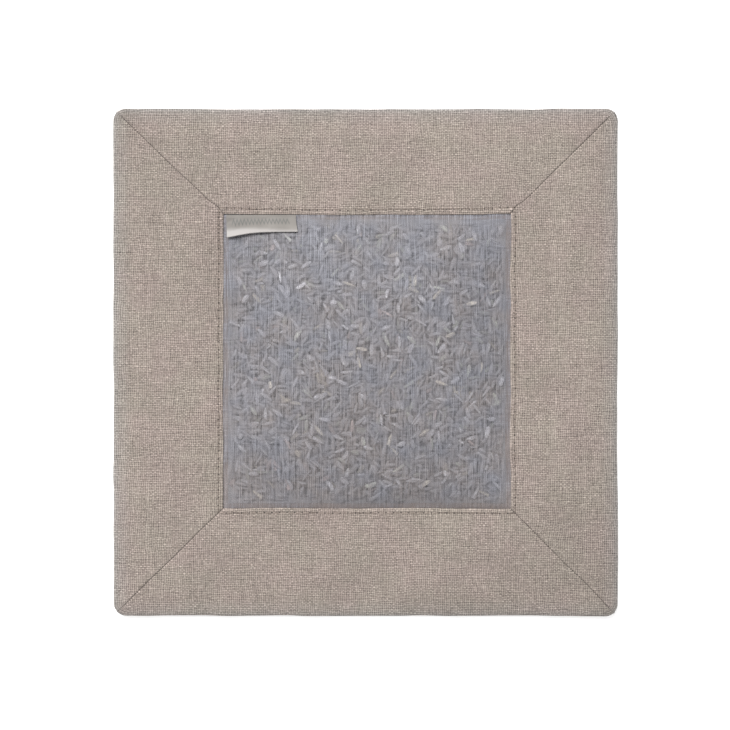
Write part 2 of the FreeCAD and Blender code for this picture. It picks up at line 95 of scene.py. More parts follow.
# --- Numbers: smooth noise, turning and sampling.
def smooth_noise(x, y, cell, seed):
    """Value noise from -1 to 1 over the plane, with features about one cell wide."""
    lattice = np.random.default_rng(seed).uniform(-1, 1, (64, 64))
    gx, gy = np.asarray(x) / cell + 1000, np.asarray(y) / cell + 1000
    ix, iy = np.floor(gx).astype(int), np.floor(gy).astype(int)
    fx, fy = gx - ix, gy - iy
    fx, fy = fx * fx * (3 - 2 * fx), fy * fy * (3 - 2 * fy)
    near = lattice[ix % 64, iy % 64] * (1 - fx) + lattice[(ix + 1) % 64, iy % 64] * fx
    far = lattice[ix % 64, (iy + 1) % 64] * (1 - fx) + lattice[(ix + 1) % 64, (iy + 1) % 64] * fx
    return near * (1 - fy) + far * fy


def turned(points, side):
    """Points made for the top side, turned to side 0 (top), 1 (left), 2 (bottom) or 3 (right)."""
    angle = side * math.pi / 2
    c, s = math.cos(angle), math.sin(angle)
    out = np.array(points, float)
    out[..., 0] = c * points[..., 0] - s * points[..., 1]
    out[..., 1] = s * points[..., 0] + c * points[..., 1]
    return out


def sample(grid, reach, x, y):
    """Bilinear reading of a square grid of heights that spans -reach to reach both ways."""
    count = grid.shape[0] - 1
    gx = np.clip((np.asarray(x) / reach + 1) / 2 * count, 0, count - 1e-6)
    gy = np.clip((np.asarray(y) / reach + 1) / 2 * count, 0, count - 1e-6)
    ix, iy = gx.astype(int), gy.astype(int)
    fx, fy = gx - ix, gy - iy
    low = grid[ix, iy] * (1 - fx) + grid[ix + 1, iy] * fx
    high = grid[ix, iy + 1] * (1 - fx) + grid[ix + 1, iy + 1] * fx
    return low * (1 - fy) + high * fy


def rounded(along, reach):
    """Where a point of the top side lands once the pad's outer corners are rounded: along the side, and
    out from the middle. Rings inside the outline keep the round of the outline less their distance from
    it."""
    radius = np.maximum(CORNER_RADIUS - (HALF - reach), 0)
    start = reach - radius
    over = np.maximum(np.abs(along) - start, 0)
    angle = over / np.maximum(radius, TINY) * math.pi / 4
    bent = (over > 0) & (radius > 0)
    x = np.where(bent, start + radius * np.sin(np.where(bent, angle, 0)), np.abs(along))
    y = np.where(bent, start + radius * np.cos(np.where(bent, angle, 0)), reach)
    return np.sign(along) * x, y


# Outer edges and hems, from left to right and from bottom to top: even as in the CAD, and shifted as the
# photo shows them.
PERFECT = np.array([-HALF, -WINDOW_HALF, WINDOW_HALF, HALF])
SEWN_X = np.array([-HALF, -56.5 * MM, 57.6 * MM, HALF])
SEWN_Y = np.array([-HALF - 0.9 * MM, -58.35 * MM, 58.5 * MM, HALF + 0.2 * MM])


def settle(points):
    """Moves points of a perfect pad to where hand sewing and soft cloth leave them."""
    out = np.array(points, float)
    x, y = out[:, 0].copy(), out[:, 1].copy()
    out[:, 0] = np.interp(x, PERFECT, SEWN_X) + 0.18 * MM * smooth_noise(x, y, 11 * MM, 301)
    out[:, 1] = np.interp(y, PERFECT, SEWN_Y) + 0.18 * MM * smooth_noise(x, y, 11 * MM, 302)
    bowed = (x / WINDOW_HALF) ** 2 * np.clip((66 * MM - np.abs(x)) / (6 * MM), 0, 1)
    out[:, 1] += 0.8 * MM * bowed * np.exp(-(((y - STITCH_LINE - 0.5 * MM) / (1.6 * MM)) ** 2))
    out[:, 2] += pad_lift(x, y)
    return out


def pad_lift(x, y):
    """How far the soft pad rises off the table: next to nothing at the middles of its edges and about a
    millimetre at its corners. The amount is a guess, because the photo looks straight down."""
    rim = np.clip((np.hypot(x, y) - 78 * MM) / (60 * MM), 0, 1) ** 2
    waves = 0.5 + 0.5 * smooth_noise(x, y, 47 * MM, 303)
    return rim * (1.0 * MM * waves + 0.3 * MM)


# --- Meshes.
def add_object(name, verts, faces, material, uvs=None, sharp=50, place=settle):
    """A smooth-shaded mesh object, with one UV pair per point where uvs is given."""
    mesh = bpy.data.meshes.new(name)
    mesh.from_pydata(place(np.asarray(verts)).tolist(), [], np.asarray(faces).tolist())
    if uvs is not None:
        layer = mesh.uv_layers.new(name="cloth")
        corners = np.zeros(len(mesh.loops), np.int32)
        mesh.loops.foreach_get("vertex_index", corners)
        layer.data.foreach_set("uv", np.asarray(uvs, np.float32)[corners].ravel())
    mesh.shade_smooth()
    mesh.set_sharp_from_angle(angle=math.radians(sharp))
    mesh.materials.append(material)
    piece = bpy.data.objects.new(name, mesh)
    bpy.context.scene.collection.objects.link(piece)
    return piece


def pad_piece(name, node, verts, faces, material, uvs=None, sharp=50):
    """A piece that stands in for a CAD node and rides on the pad."""
    piece = add_object(name, verts, faces, material, uvs, sharp)
    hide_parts(node)
    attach(piece, "pad")
    return piece


def grid_quads(rows, columns, offset=0):
    index = np.arange(rows * columns).reshape(rows, columns) + offset
    return np.stack([index[:-1, :-1], index[:-1, 1:], index[1:, 1:], index[1:, :-1]], -1).reshape(-1, 4)


def closed_grid(rows, columns):
    """Quads of a closed body: a grid of points, its copy underneath, and the rim between them."""
    count = rows * columns
    quads = grid_quads(rows, columns)
    index = np.arange(count).reshape(rows, columns)
    edge = np.concatenate([index[0, :], index[1:, -1], index[-1, -2::-1], index[-2:0:-1, 0]])
    after = np.roll(edge, -1)
    rim = np.stack([edge, after, after + count, edge + count], -1)
    return np.concatenate([quads[:, ::-1], quads + count, rim])


def sheet(centre, thickness, uv):
    """Gives a grid of centre points a thickness and closes its rim. Returns points, quads and UVs."""
    down = np.gradient(centre, axis=0)
    across = np.gradient(centre, axis=1)
    normal = unit(np.cross(across, down))
    front = (centre + normal * thickness / 2).reshape(-1, 3)
    back = (centre - normal * thickness / 2).reshape(-1, 3)
    flat_uv = uv.reshape(-1, 2)
    quads = closed_grid(*centre.shape[:2])
    return np.concatenate([front, back]), quads, np.concatenate([flat_uv, flat_uv])


def joined(parts):
    """Several (points, quads, uvs) as one."""
    points, quads, uvs, start = [], [], [], 0
    for part_points, part_quads, part_uvs in parts:
        points.append(part_points)
        quads.append(part_quads + start)
        uvs.append(part_uvs)
        start += len(part_points)
    return np.concatenate(points), np.concatenate(quads), np.concatenate(uvs)


def unit(vectors):
    return vectors / np.maximum(np.linalg.norm(vectors, axis=-1, keepdims=True), 1e-15)


def path_frame(path):
    """Unit vectors at each point of a path: sideways, and up from it."""
    tangent = unit(np.gradient(path, axis=0))
    side = unit(np.cross(tangent, [0.0, 0.0, 1.0]))
    return side, np.cross(side, tangent)


def ring_quads(rows, sides):
    """Quads between closed rings of points."""
    index = np.arange(rows * sides).reshape(rows, sides)
    wrapped = np.roll(index, -1, axis=1)
    return np.stack([index[:-1], wrapped[:-1], wrapped[1:], index[1:]], -1).reshape(-1, 4)


def tube(path, radius, sides=6):
    """A round tube along a path of points, drawn nearly to a point at both ends. Returns points and
    quads."""
    side, top = path_frame(path)
    angle = np.arange(sides) * 2 * math.pi / sides
    size = np.full(len(path), radius)
    size[[0, -1]] *= 0.05
    ring = np.cos(angle)[None, :, None] * side[:, None] + np.sin(angle)[None, :, None] * top[:, None]
    points = path[:, None] + ring * size[:, None, None]
    return points.reshape(-1, 3), ring_quads(len(path), sides)


def twisted_thread(path, radius, twist=0.9 * MM, start=0.0):
    """Two plies twisted about the path, as parts for joined()."""
    length = np.concatenate([[0], np.cumsum(np.linalg.norm(np.diff(path, axis=0), axis=1))])
    side, top = path_frame(path)
    parts = []
    for ply in (0, 1):
        phase = (length + start) / twist * 2 * math.pi + ply * math.pi
        offset = (np.cos(phase)[:, None] * side + np.sin(phase)[:, None] * top) * radius * 0.48
        points, quads = tube(path + offset, radius * 0.56)
        parts.append((points, quads, np.zeros((len(points), 2))))
    return parts


# --- Cloth simulation, run on enlarged copies.
SIM_SCALE = 50


def swell(name, reach, count, used, pinned, pressure, slack, stiffness, bending, steps):
    """Blows up a flat square sheet that is held at its pinned points. Returns the grid of heights in
    metres."""
    steps_each = np.linspace(-reach, reach, count)
    x, y = np.meshgrid(steps_each, steps_each, indexing="ij")
    points = np.stack([x, y, np.zeros_like(x)], -1).reshape(-1, 3)
    quads = grid_quads(count, count)[:, ::-1]
    keep = used(x, y).reshape(-1)
    quads = quads[keep[quads].all(1)]
    wanted = np.unique(quads)
    renumber = np.full(len(points), -1)
    renumber[wanted] = np.arange(len(wanted))
    mesh = bpy.data.meshes.new(name)
    mesh.from_pydata((points[wanted] * SIM_SCALE).tolist(), [], renumber[quads].tolist())
    body = bpy.data.objects.new(name, mesh)
    bpy.context.scene.collection.objects.link(body)
    held = np.nonzero(pinned(x, y).reshape(-1)[wanted])[0]
    body.vertex_groups.new(name="held").add(held.tolist(), 1.0, "REPLACE")
    cloth = body.modifiers.new("cloth", "CLOTH")
    rules = cloth.settings
    rules.quality = 6
    rules.mass = 0.15
    rules.vertex_group_mass = "held"
    rules.effector_weights.gravity = 0
    rules.use_pressure = True
    rules.uniform_pressure_force = pressure
    rules.shrink_min = -slack
    rules.tension_stiffness = stiffness
    rules.compression_stiffness = stiffness
    rules.bending_stiffness = bending
    rules.air_damping = 3
    cloth.collision_settings.use_collision = False
    cloth.point_cache.frame_start = 1
    cloth.point_cache.frame_end = steps
    for step in range(1, steps + 1):
        bpy.context.scene.frame_set(step)
    solved = body.evaluated_get(bpy.context.evaluated_depsgraph_get()).data
    co = np.zeros(len(wanted) * 3, np.float32)
    solved.vertices.foreach_get("co", co)
    heights = np.zeros(len(points))
    heights[wanted] = co.reshape(-1, 3)[:, 2] / SIM_SCALE
    bpy.data.objects.remove(body)
    bpy.data.meshes.remove(mesh)
    bpy.context.scene.frame_set(1)
    return heights.reshape(count, count)


def ring_of(x, y):
    return np.maximum(np.abs(x), np.abs(y))


def swell_border():
    """The border's face, held at the topstitch, the outer seam and the four corner seams."""
    step = 2.5 * MM

    def used(x, y):
        return ring_of(x, y) > STITCH_LINE - 1.5 * step

    def pinned(x, y):
        ring = ring_of(x, y)
        corner = np.abs(np.abs(x) - np.abs(y)) < 0.3 * step
        return (ring < STITCH_LINE + 0.4 * step) | (ring > HALF - 1.2 * step) | corner

    return swell("border_face", HALF, 81, used, pinned,
                 pressure=0.6, slack=0.006, stiffness=15, bending=2.0, steps=24)


def swell_sheer():
    """The sheer panel over the window, held just under the hem."""
    reach = WINDOW_HALF + 1 * MM

    def everywhere(x, y):
        return np.full(x.shape, True)

    def pinned(x, y):
        return ring_of(x, y) > reach - 0.4 * MM

    heights = swell("sheer_face", reach, 72, everywhere, pinned,
                    pressure=3.0, slack=0.012, stiffness=8, bending=0.05, steps=30)
    full = np.clip(heights / max(heights.max(), TINY), 0, 1) ** 0.78
    return full * (SHEER_HIGH.z - SHEER_LOW.z - 0.15 * MM), reach


# --- Materials.
class Nodes:
    """Short calls for one material's node tree."""

    def __init__(self, name):
        self.material = bpy.data.materials.new(name)
        self.material.use_nodes = True
        self.tree = self.material.node_tree
        self.shader = self.tree.nodes["Principled BSDF"]

    def add(self, kind, **settings):
        node = self.tree.nodes.new(kind)
        for key, value in settings.items():
            setattr(node, key, value)
        return node

    def link(self, source, socket):
        self.tree.links.new(source, socket)

    def feed(self, socket, value):
        if isinstance(value, bpy.types.NodeSocket):
            self.link(value, socket)
        else:
            socket.default_value = value

    def math(self, operation, a, b=None, c=None, clamp=False):
        node = self.add("ShaderNodeMath", operation=operation, use_clamp=clamp)
        for socket, value in zip(node.inputs, (a, b, c)):
            if value is not None:
                self.feed(socket, value)
        return node.outputs[0]

    def times(self, a, b):
        return self.math("MULTIPLY", a, b)

    def plus(self, a, b, clamp=False):
        return self.math("ADD", a, b, clamp=clamp)

    def minus(self, a, b, clamp=False):
        return self.math("SUBTRACT", a, b, clamp=clamp)

    def combine(self, x, y, z=0.0):
        node = self.add("ShaderNodeCombineXYZ")
        for socket, value in zip(node.inputs, (x, y, z)):
            self.feed(socket, value)
        return node.outputs[0]

    def noise(self, vector, scale, detail=2.0, rough=0.5):
        node = self.add("ShaderNodeTexNoise")
        self.link(vector, node.inputs["Vector"])
        node.inputs["Scale"].default_value = scale
        node.inputs["Detail"].default_value = detail
        node.inputs["Roughness"].default_value = rough
        return node.outputs["Fac"]

    def random(self, value):
        node = self.add("ShaderNodeTexWhiteNoise", noise_dimensions="1D")
        self.feed(node.inputs["W"], value)
        return node.outputs["Value"]

    def random_cell(self, x, y):
        node = self.add("ShaderNodeTexWhiteNoise", noise_dimensions="2D")
        self.link(self.combine(x, y), node.inputs["Vector"])
        return node.outputs["Value"]

    def remap(self, value, low, high, to_low, to_high, smooth=False):
        node = self.add("ShaderNodeMapRange", interpolation_type="SMOOTHSTEP" if smooth else "LINEAR")
        for key, number in (("Value", value), ("From Min", low), ("From Max", high),
                            ("To Min", to_low), ("To Max", to_high)):
            self.feed(node.inputs[key], number)
        return node.outputs[0]

    def mix(self, share, a, b, blend="MIX"):
        node = self.add("ShaderNodeMix", data_type="RGBA", blend_type=blend)
        self.feed(node.inputs["Factor"], share)
        for name, value in (("A", a), ("B", b)):
            socket = next(s for s in node.inputs if s.name == name and s.type == "RGBA")
            self.feed(socket, value if isinstance(value, bpy.types.NodeSocket) else (*value, 1.0))
        return next(s for s in node.outputs if s.type == "RGBA")

    def shaded(self, colour, factor):
        """A colour with all three channels times one factor."""
        return self.mix(1.0, colour, self.combine(factor, factor, factor), "MULTIPLY")

    def bump(self, height, distance, strength=1.0, onto=None):
        node = self.add("ShaderNodeBump")
        node.inputs["Strength"].default_value = strength
        node.inputs["Distance"].default_value = distance
        self.link(height, node.inputs["Height"])
        if onto is not None:
            self.link(onto, node.inputs["Normal"])
        return node.outputs[0]

    def cloth_uv(self):
        """The cloth's own two directions, in metres, as two sockets."""
        node = self.add("ShaderNodeUVMap", uv_map="cloth")
        split = self.add("ShaderNodeSeparateXYZ")
        self.link(node.outputs[0], split.inputs[0])
        return split.outputs[0], split.outputs[1]

    def object_point(self):
        return self.add("ShaderNodeTexCoord").outputs["Object"]

    def finish(self, colour, roughness, normal=None, sheen=0.0):
        shader = self.shader
        self.feed(shader.inputs["Base Color"], colour)
        self.feed(shader.inputs["Roughness"], roughness)
        if normal is not None:
            self.link(normal, shader.inputs["Normal"])
        shader.inputs["Specular IOR Level"].default_value = 0.25
        shader.inputs["Sheen Weight"].default_value = sheen
        shader.inputs["Sheen Roughness"].default_value = 0.5
        return self.material


def plain_weave(n, u, v, pitches, wander, thin, seed):
    """Plain weave over sockets u and v, with yarns that wander and thin out. Returns the surface's height
    from 0 in the holes to 1 on the crowns, which direction is on top, and for each direction its yarn's
    own random number and the place along the yarn in yarn widths."""
    u, v = n.math("DIVIDE", u, pitches[0]), n.math("DIVIDE", v, pitches[1])

    def stretched(along, across, fine, extra):
        return n.noise(n.combine(n.times(across, fine), n.times(along, 0.07), seed + extra), 1, 1)

    def bent(along, across, extra):
        near = n.times(n.minus(stretched(along, across, 0.42, extra), 0.5), wander)
        place = n.combine(n.times(across, 0.035), n.times(along, 0.05), seed + extra + 2.0)
        far = n.times(n.minus(n.noise(place, 1.0, 1.0), 0.5), wander * 2.2)
        return n.plus(n.plus(across, near), far)

    a, b = bent(v, u, 0.0), bent(u, v, 5.0)
    heights, owns = [], []
    for across, along, extra, sign in ((a, b, 0.0, 1.0), (b, a, 400.0, -1.0)):
        cell = n.math("FLOOR", across)
        own = n.random(n.plus(cell, seed * 17.0 + extra))
        slub = n.noise(n.combine(n.times(own, 90.0), n.times(along, 0.45), seed), 1.0, 2.0)
        width = n.remap(slub, 0.25, 0.75, 1.0 - thin, 1.08)
        from_axis = n.times(n.math("ABSOLUTE", n.minus(n.math("FRACT", across), 0.5)), 2.0)
        side = n.math("DIVIDE", from_axis, width)
        cover = n.math("SQRT", n.minus(1.0, n.times(side, side), clamp=True))
        sway = n.math("SINE", n.times(along, math.pi))
        turn = n.math("COSINE", n.times(cell, math.pi))
        over = n.math("MULTIPLY_ADD", n.times(sway, turn), 0.31 * sign, 0.69)
        heights.append(n.times(cover, over))
        owns.append(own)
    top = n.math("MAXIMUM", *heights)
    first_on_top = n.math("GREATER_THAN", *heights)
    return top, first_on_top, owns[0], owns[1], a, b


def choose(n, share, when_zero, when_one):
    node = n.add("ShaderNodeMix")
    for socket, value in zip(node.inputs, (share, None, when_zero, when_one)):
        if value is not None:
            n.feed(socket, value)
    return node.outputs[0]


def yarn_shade(n, own, along, seed):
    """Uneven shade along one yarn: its own tone, short paler stretches and fine fibres."""
    place = n.combine(n.times(own, 90.0), n.times(along, 0.62), seed)
    return n.math("MULTIPLY_ADD", own, 0.10, n.times(n.noise(place, 1.0, 3.0, 0.65), 0.90))


def linen(name, seed, tone, rim_share, rim_tone, lip_light, mitred, warp_along):
    """Undyed slubby linen in plain weave, with painted shade between its yarns, in its stitch holes and, on a
    border strip, along its mitres, and painted light on its fold at the window. The outer edge is a cooler
    grey of painted sheen and shade, as in the photo. The tones of each side are painted light and shade,
    fitted to the photo too."""
    n = Nodes(name)
    u, v = n.cloth_uv()
    across_warp, across_weft = (v, u) if warp_along else (u, v)
    top, first, own_a, own_b, a, b = plain_weave(
        n, across_warp, across_weft, LINEN_PITCH, wander=1.25, thin=0.42, seed=seed)
    shade = choose(n, first, yarn_shade(n, own_b, a, seed + 9.0), yarn_shade(n, own_a, b, seed))
    share = n.remap(shade, 0.28, 0.82, 0.0, 1.0)
    colour = n.mix(share, LINEN_DARK, LINEN_LIGHT)
    place = n.combine(u, v, seed)
    tint = n.remap(n.noise(place, 50.0, 3.0, 0.6), 0.38, 0.62, 0.0, 1.0)
    colour = n.mix(1.0, colour, n.mix(tint, *LINEN_TINTS), "MULTIPLY")
    fibre = n.noise(place, 2400.0, 2.0)
    # Painted shade: the linen is darker where the weave is low, in the holes between the yarns.
    shade_and_tone = n.remap(top, 0.2, 0.85, 0.20 * tone, 1.115 * tone)
    shade_and_tone = n.times(shade_and_tone, n.remap(fibre, 0.3, 0.7, 0.88, 1.10))
    lines = n.times(n.remap(n.math("PINGPONG", b, 1.0), 0.0, 1.0, 0.87, 1.13),
                   n.remap(n.math("PINGPONG", a, 1.0), 0.0, 1.0, 0.95, 1.05))
    checks = n.remap(first, 0.0, 1.0, 1.13, 0.87)
    patch = n.remap(n.noise(n.combine(u, v, seed + 3.0), 240.0, 1.0), 0.40, 0.60, 0.0, 1.0)
    shade_and_tone = n.times(shade_and_tone, choose(n, patch, lines, checks))
    worn = n.remap(n.noise(n.combine(u, v, seed + 6.0), 50.0, 2.0), 0.35, 0.65, 0.95, 1.05)
    shade_and_tone = n.times(shade_and_tone, worn)
    crossing = n.random_cell(n.math("FLOOR", a), n.math("FLOOR", b))
    shade_and_tone = n.times(shade_and_tone, n.remap(crossing, 0.0, 1.0, 0.86, 1.14))
    reach = n.add("ShaderNodeAttribute", attribute_name="reach").outputs["Fac"]
    shade_and_tone = n.times(shade_and_tone, stitch_shade(n, u, reach))
    if mitred:
        # Painted shade along the mitre's valley, fading out near the outer corner and near the window.
        gap = n.minus(reach, n.math("ABSOLUTE", u))
        near_corner = n.remap(reach, HALF - 6.0 * MM, HALF - 2.5 * MM, 0.0, 0.9)
        near_window = n.remap(reach, WINDOW_HALF + 0.5 * MM, STITCH_LINE + 1.5 * MM, 0.65, 0.0)
        dark = n.remap(gap, 0.20 * MM, 0.50 * MM, 0.36, 1.0, smooth=True)
        shade_and_tone = n.times(shade_and_tone, n.math("MAXIMUM", dark, n.math("MAXIMUM", near_corner, near_window)))
        # Painted light: the fold at the window is made paler.
        lip = n.remap(reach, WINDOW_HALF + 0.25 * MM, WINDOW_HALF + 0.8 * MM, lip_light, 1.0, smooth=True)
        shade_and_tone = n.times(shade_and_tone, lip)
    shade_and_tone = n.times(shade_and_tone, corner_tone(n))
    # Painted sheen and shade: towards the outer edge the linen turns a cooler grey, with a tone set for each
    # side.
    rim = n.plus(n.remap(reach, HALF - 8 * MM, HALF - 2 * MM, 0.0, rim_share * 0.4, smooth=True),
                 n.remap(reach, HALF - 2.6 * MM, HALF - 0.5 * MM, 0.0, rim_share * 0.6))
    colour = n.mix(rim, colour, tuple(channel * rim_tone for channel in RIM_SHEEN_AND_SHADE))
    colour = n.shaded(colour, shade_and_tone)
    normal = n.bump(top, 0.20 * MM, 0.8)
    normal = n.bump(fibre, 0.03 * MM, 0.5, normal)
    return n.finish(colour, n.remap(share, 0, 1, 0.95, 0.82), normal, sheen=0.22)


def corner_tone(n):
    """The linen is darker towards the lower right corner, as in the photo. A multiplier."""
    at = n.add("ShaderNodeSeparateXYZ")
    n.link(n.object_point(), at.inputs[0])
    towards = n.minus(at.outputs[0], at.outputs[1])
    corner = n.remap(towards, HALF, 2 * HALF, 1.0, 0.86)
    return n.times(corner, n.remap(at.outputs[1], -HALF, -0.2 * HALF, 0.965, 1.0))


def stitch_shade(n, along, reach):
    """Painted shade in the needle holes along the stitch line, with fainter painted shade in the channel
    between them, as a multiplier.
    """
    step = n.math("DIVIDE", n.plus(along, STITCH_LINE), STITCH_PITCH)
    to_hole = n.times(n.math("ABSOLUTE", n.minus(step, n.math("ROUND", step))), STITCH_PITCH)
    to_line = n.math("ABSOLUTE", n.minus(reach, STITCH_LINE))
    distance = n.math("SQRT", n.plus(n.times(to_hole, to_hole), n.times(to_line, to_line)))
    hole = n.remap(distance, 0.22 * MM, 0.50 * MM, 0.30, 1.0, smooth=True)
    channel = n.remap(to_line, 0.10 * MM, 0.35 * MM, 0.98, 1.0, smooth=True)
    return n.times(hole, channel)


def window_tone(n, x, y):
    """The window is darker along its lower hem right of the middle, as in the photo. A multiplier."""
    low = n.remap(y, -WINDOW_HALF, -WINDOW_HALF + 11 * MM, 1.0, 0.0)
    right = n.remap(x, -25 * MM, 0.0, 0.0, 1.0)
    return n.math("MULTIPLY_ADD", n.times(low, right), -0.14, 1.0)


def sheer():
    """Pale grey organza: fine yarns with gaps that let the herbs show through, and thicker yarns here and
    there."""
    n = Nodes("sheer_organza")
    u, v = n.cloth_uv()
    top = plain_weave(n, u, v, (0.3 * MM, 0.3 * MM), wander=0.9, thin=0.5, seed=3.0)[0]
    upright = n.noise(n.combine(n.times(u, 1500.0), n.times(v, 110.0), 1.0), 1.0, 1.0)
    level = n.noise(n.combine(n.times(u, 110.0), n.times(v, 1500.0), 2.0), 1.0, 1.0)
    thick = n.plus(n.remap(upright, 0.35, 0.68, -0.05, 0.20), n.remap(level, 0.38, 0.68, -0.03, 0.10))
    cloud = n.noise(n.combine(u, v, 0.0), 75.0, 3.0)
    cooler_up = n.remap(v, -WINDOW_HALF, WINDOW_HALF, -0.07, 0.07)
    colour = n.mix(n.remap(n.plus(cloud, cooler_up), 0.36, 0.64, 0, 1), SHEER_WARM, SHEER_COOL)
    streak = n.times(n.remap(upright, 0.3, 0.7, 0.84, 1.18), n.remap(level, 0.3, 0.7, 0.94, 1.06))
    # Painted light: the sheer is made paler in the last millimetre or so before the hem, where the hem's
    # shadow falls.
    ring = n.math("MAXIMUM", n.math("ABSOLUTE", u), v)
    streak = n.times(streak, n.remap(ring, WINDOW_HALF - 1.3 * MM, WINDOW_HALF - 0.1 * MM, 1.0, 1.35))
    streak = n.times(streak, window_tone(n, u, v))
    colour = n.shaded(colour, streak)
    rib = n.remap(n.math("PINGPONG", n.math("DIVIDE", u, SHEER_RIB / 2), 1.0), 0.2, 0.8, -1.0, 1.0)
    ribbed = n.noise(n.combine(u, n.times(v, 0.5), 7.0), 150.0, 1.0)
    rib = n.times(rib, n.remap(ribbed, 0.42, 0.58, 0.0, 1.0))
    thick = n.math("MULTIPLY_ADD", rib, 0.07, thick)
    stroke = n.math("MULTIPLY_ADD", rib, 0.10, 1.0)
    colour = n.shaded(colour, stroke)
    solid = n.plus(n.remap(top, 0.3, 0.95, 0.17, 0.37), thick, clamp=True)
    n.feed(n.shader.inputs["Alpha"], n.plus(solid, n.remap(cloud, 0.35, 0.65, -0.03, 0.03)))
    height = n.plus(n.times(top, 0.4), n.times(thick, 4.0))
    return n.finish(colour, 0.45, n.bump(height, 0.04 * MM, 0.4), sheen=0.25)


def dried_bud():
    """Dried flower buds: each has its own colour, with painted light making the parts that face up paler."""
    n = Nodes("dried_buds")
    tone = n.add("ShaderNodeAttribute", attribute_name="bud_colour")
    place = n.object_point()
    speck = n.noise(place, 2600.0, 3.0, 0.6)
    blotch = n.noise(place, 800.0, 2.0)
    facing = n.add("ShaderNodeSeparateXYZ")
    n.link(n.add("ShaderNodeNewGeometry").outputs["Normal"], facing.inputs[0])
    # Painted light: paler where the surface faces up.
    down = n.remap(facing.outputs[2], 0.72, 0.99, 0.86, 1.24, smooth=True)
    drift = n.remap(n.noise(place, 110.0, 2.0), 0.35, 0.65, 0.88, 1.10)
    shade = n.times(n.remap(speck, 0.3, 0.7, 0.86, 1.14), n.remap(blotch, 0.3, 0.7, 0.88, 1.12))
    shade = n.times(n.times(shade, down), drift)
    at = n.add("ShaderNodeSeparateXYZ")
    n.link(place, at.inputs[0])
    shade = n.times(shade, window_tone(n, at.outputs[0], at.outputs[1]))
    colour = n.shaded(tone.outputs["Color"], shade)
    return n.finish(colour, 0.7, n.bump(speck, 0.06 * MM, 0.6), sheen=0.2)


def thread(name, dark, light):
    n = Nodes(name)
    place = n.object_point()
    fibre = n.noise(place, 5200.0, 2.0)
    cloud = n.noise(place, 400.0, 2.0)
    colour = n.mix(n.remap(cloud, 0.3, 0.7, 0, 1), dark, light)
    shade = n.remap(fibre, 0.3, 0.7, 0.85, 1.1)
    colour = n.shaded(colour, shade)
    return n.finish(colour, 0.7, n.bump(fibre, 0.02 * MM, 0.6), sheen=0.15)


def fine_cotton(name, colour_low, colour_high, pitch, seed):
    n = Nodes(name)
    u, v = n.cloth_uv()
    top = plain_weave(n, u, v, (pitch, pitch), wander=0.8, thin=0.3, seed=seed)[0]
    cloud = n.noise(n.combine(u, v, seed), 120.0, 3.0)
    colour = n.mix(n.remap(cloud, 0.3, 0.7, 0, 1), colour_low, colour_high)
    # Painted shade: darker where the weave is low, between the yarns.
    shade = n.remap(top, 0.2, 0.9, 0.8, 1.05)
    colour = n.shaded(colour, shade)
    return n.finish(colour, 0.85, n.bump(top, 0.05 * MM, 0.5), sheen=0.1)


LABEL_WIDTH = TAB_HIGH.x - TAB_LOW.x
LABEL_DOWN = 7.2 * MM          # tape pattern, from the hinge to the lower fold
TAPE_GROUND = (0.272, 0.252, 0.232), (0.315, 0.292, 0.270)
TAPE_HIGHLIGHT = (0.475, 0.45, 0.435)
TAPE_PATTERN = (0.15, 0.155, 0.145)


def label_tape():
    """Satin tape: a greyer woven ground with a band of chevrons, with a painted highlight making it paler
    towards the loose left corner and along the lower fold, and painted shade near the hem. UV: across the
    tape, and down from the hem."""
    n = Nodes("label_tape")
    u, v = n.cloth_uv()
    ridge = n.math("SINE", n.times(v, math.pi * 2 / (0.17 * MM)))
    warp_ridge = n.math("SINE", n.times(u, math.pi * 2 / (0.23 * MM)))
    period, swing, middle, width = 1.45 * MM, 1.15 * MM, 2.1 * MM, 0.25 * MM
    wave = n.minus(n.math("PINGPONG", u, period / 2), period / 4)
    wave = n.times(wave, swing * 4 / period)
    from_middle = n.minus(v, middle)
    distance = n.times(n.math("ABSOLUTE", n.minus(from_middle, wave)), 0.42)
    line = n.remap(distance, width * 0.7, width * 1.3, 1.0, 0.0, smooth=True)
    for low, high in ((2.0 * MM, 2.6 * MM), (LABEL_WIDTH - 2.4 * MM, LABEL_WIDTH - 3.0 * MM)):
        line = n.times(line, n.remap(u, low, high, 0.0, 1.0))
    cloud = n.noise(n.combine(u, v, 2.0), 160.0, 2.0)
    ground = n.mix(n.remap(cloud, 0.3, 0.7, 0, 1), *TAPE_GROUND)
    # Painted highlight of the satin: paler towards the loose left corner.
    highlight_from = n.remap(u, 2 * MM, 22 * MM, 3.4 * MM, 5.2 * MM)
    pale = n.remap(n.minus(v, highlight_from), 0.0, 2.2 * MM, 0.0, 1.0, smooth=True)
    pale = n.times(pale, n.remap(u, 8 * MM, 26 * MM, 1.0, 0.72))
    # Painted highlight along the lower fold.
    fold = n.remap(v, LABEL_DOWN - 0.6 * MM, LABEL_DOWN - 0.15 * MM, 0.0, 0.75, smooth=True)
    pale = n.math("MAXIMUM", pale, fold)
    # Painted shade: the ground is darker near the hem.
    shaded = n.remap(v, 2.0 * MM, 5.0 * MM, 0.86, 1.0, smooth=True)
    ground = n.shaded(ground, shaded)
    colour = n.mix(pale, ground, TAPE_HIGHLIGHT)
    colour = n.mix(n.times(line, n.remap(ridge, -1, 1, 0.6, 1.0)), colour, TAPE_PATTERN)
    height = n.plus(n.times(ridge, 0.6), n.times(warp_ridge, 0.3))
    height = n.plus(height, n.times(line, 1.2))
    return n.finish(colour, 0.5, n.bump(height, 0.02 * MM, 0.5), sheen=0.2)


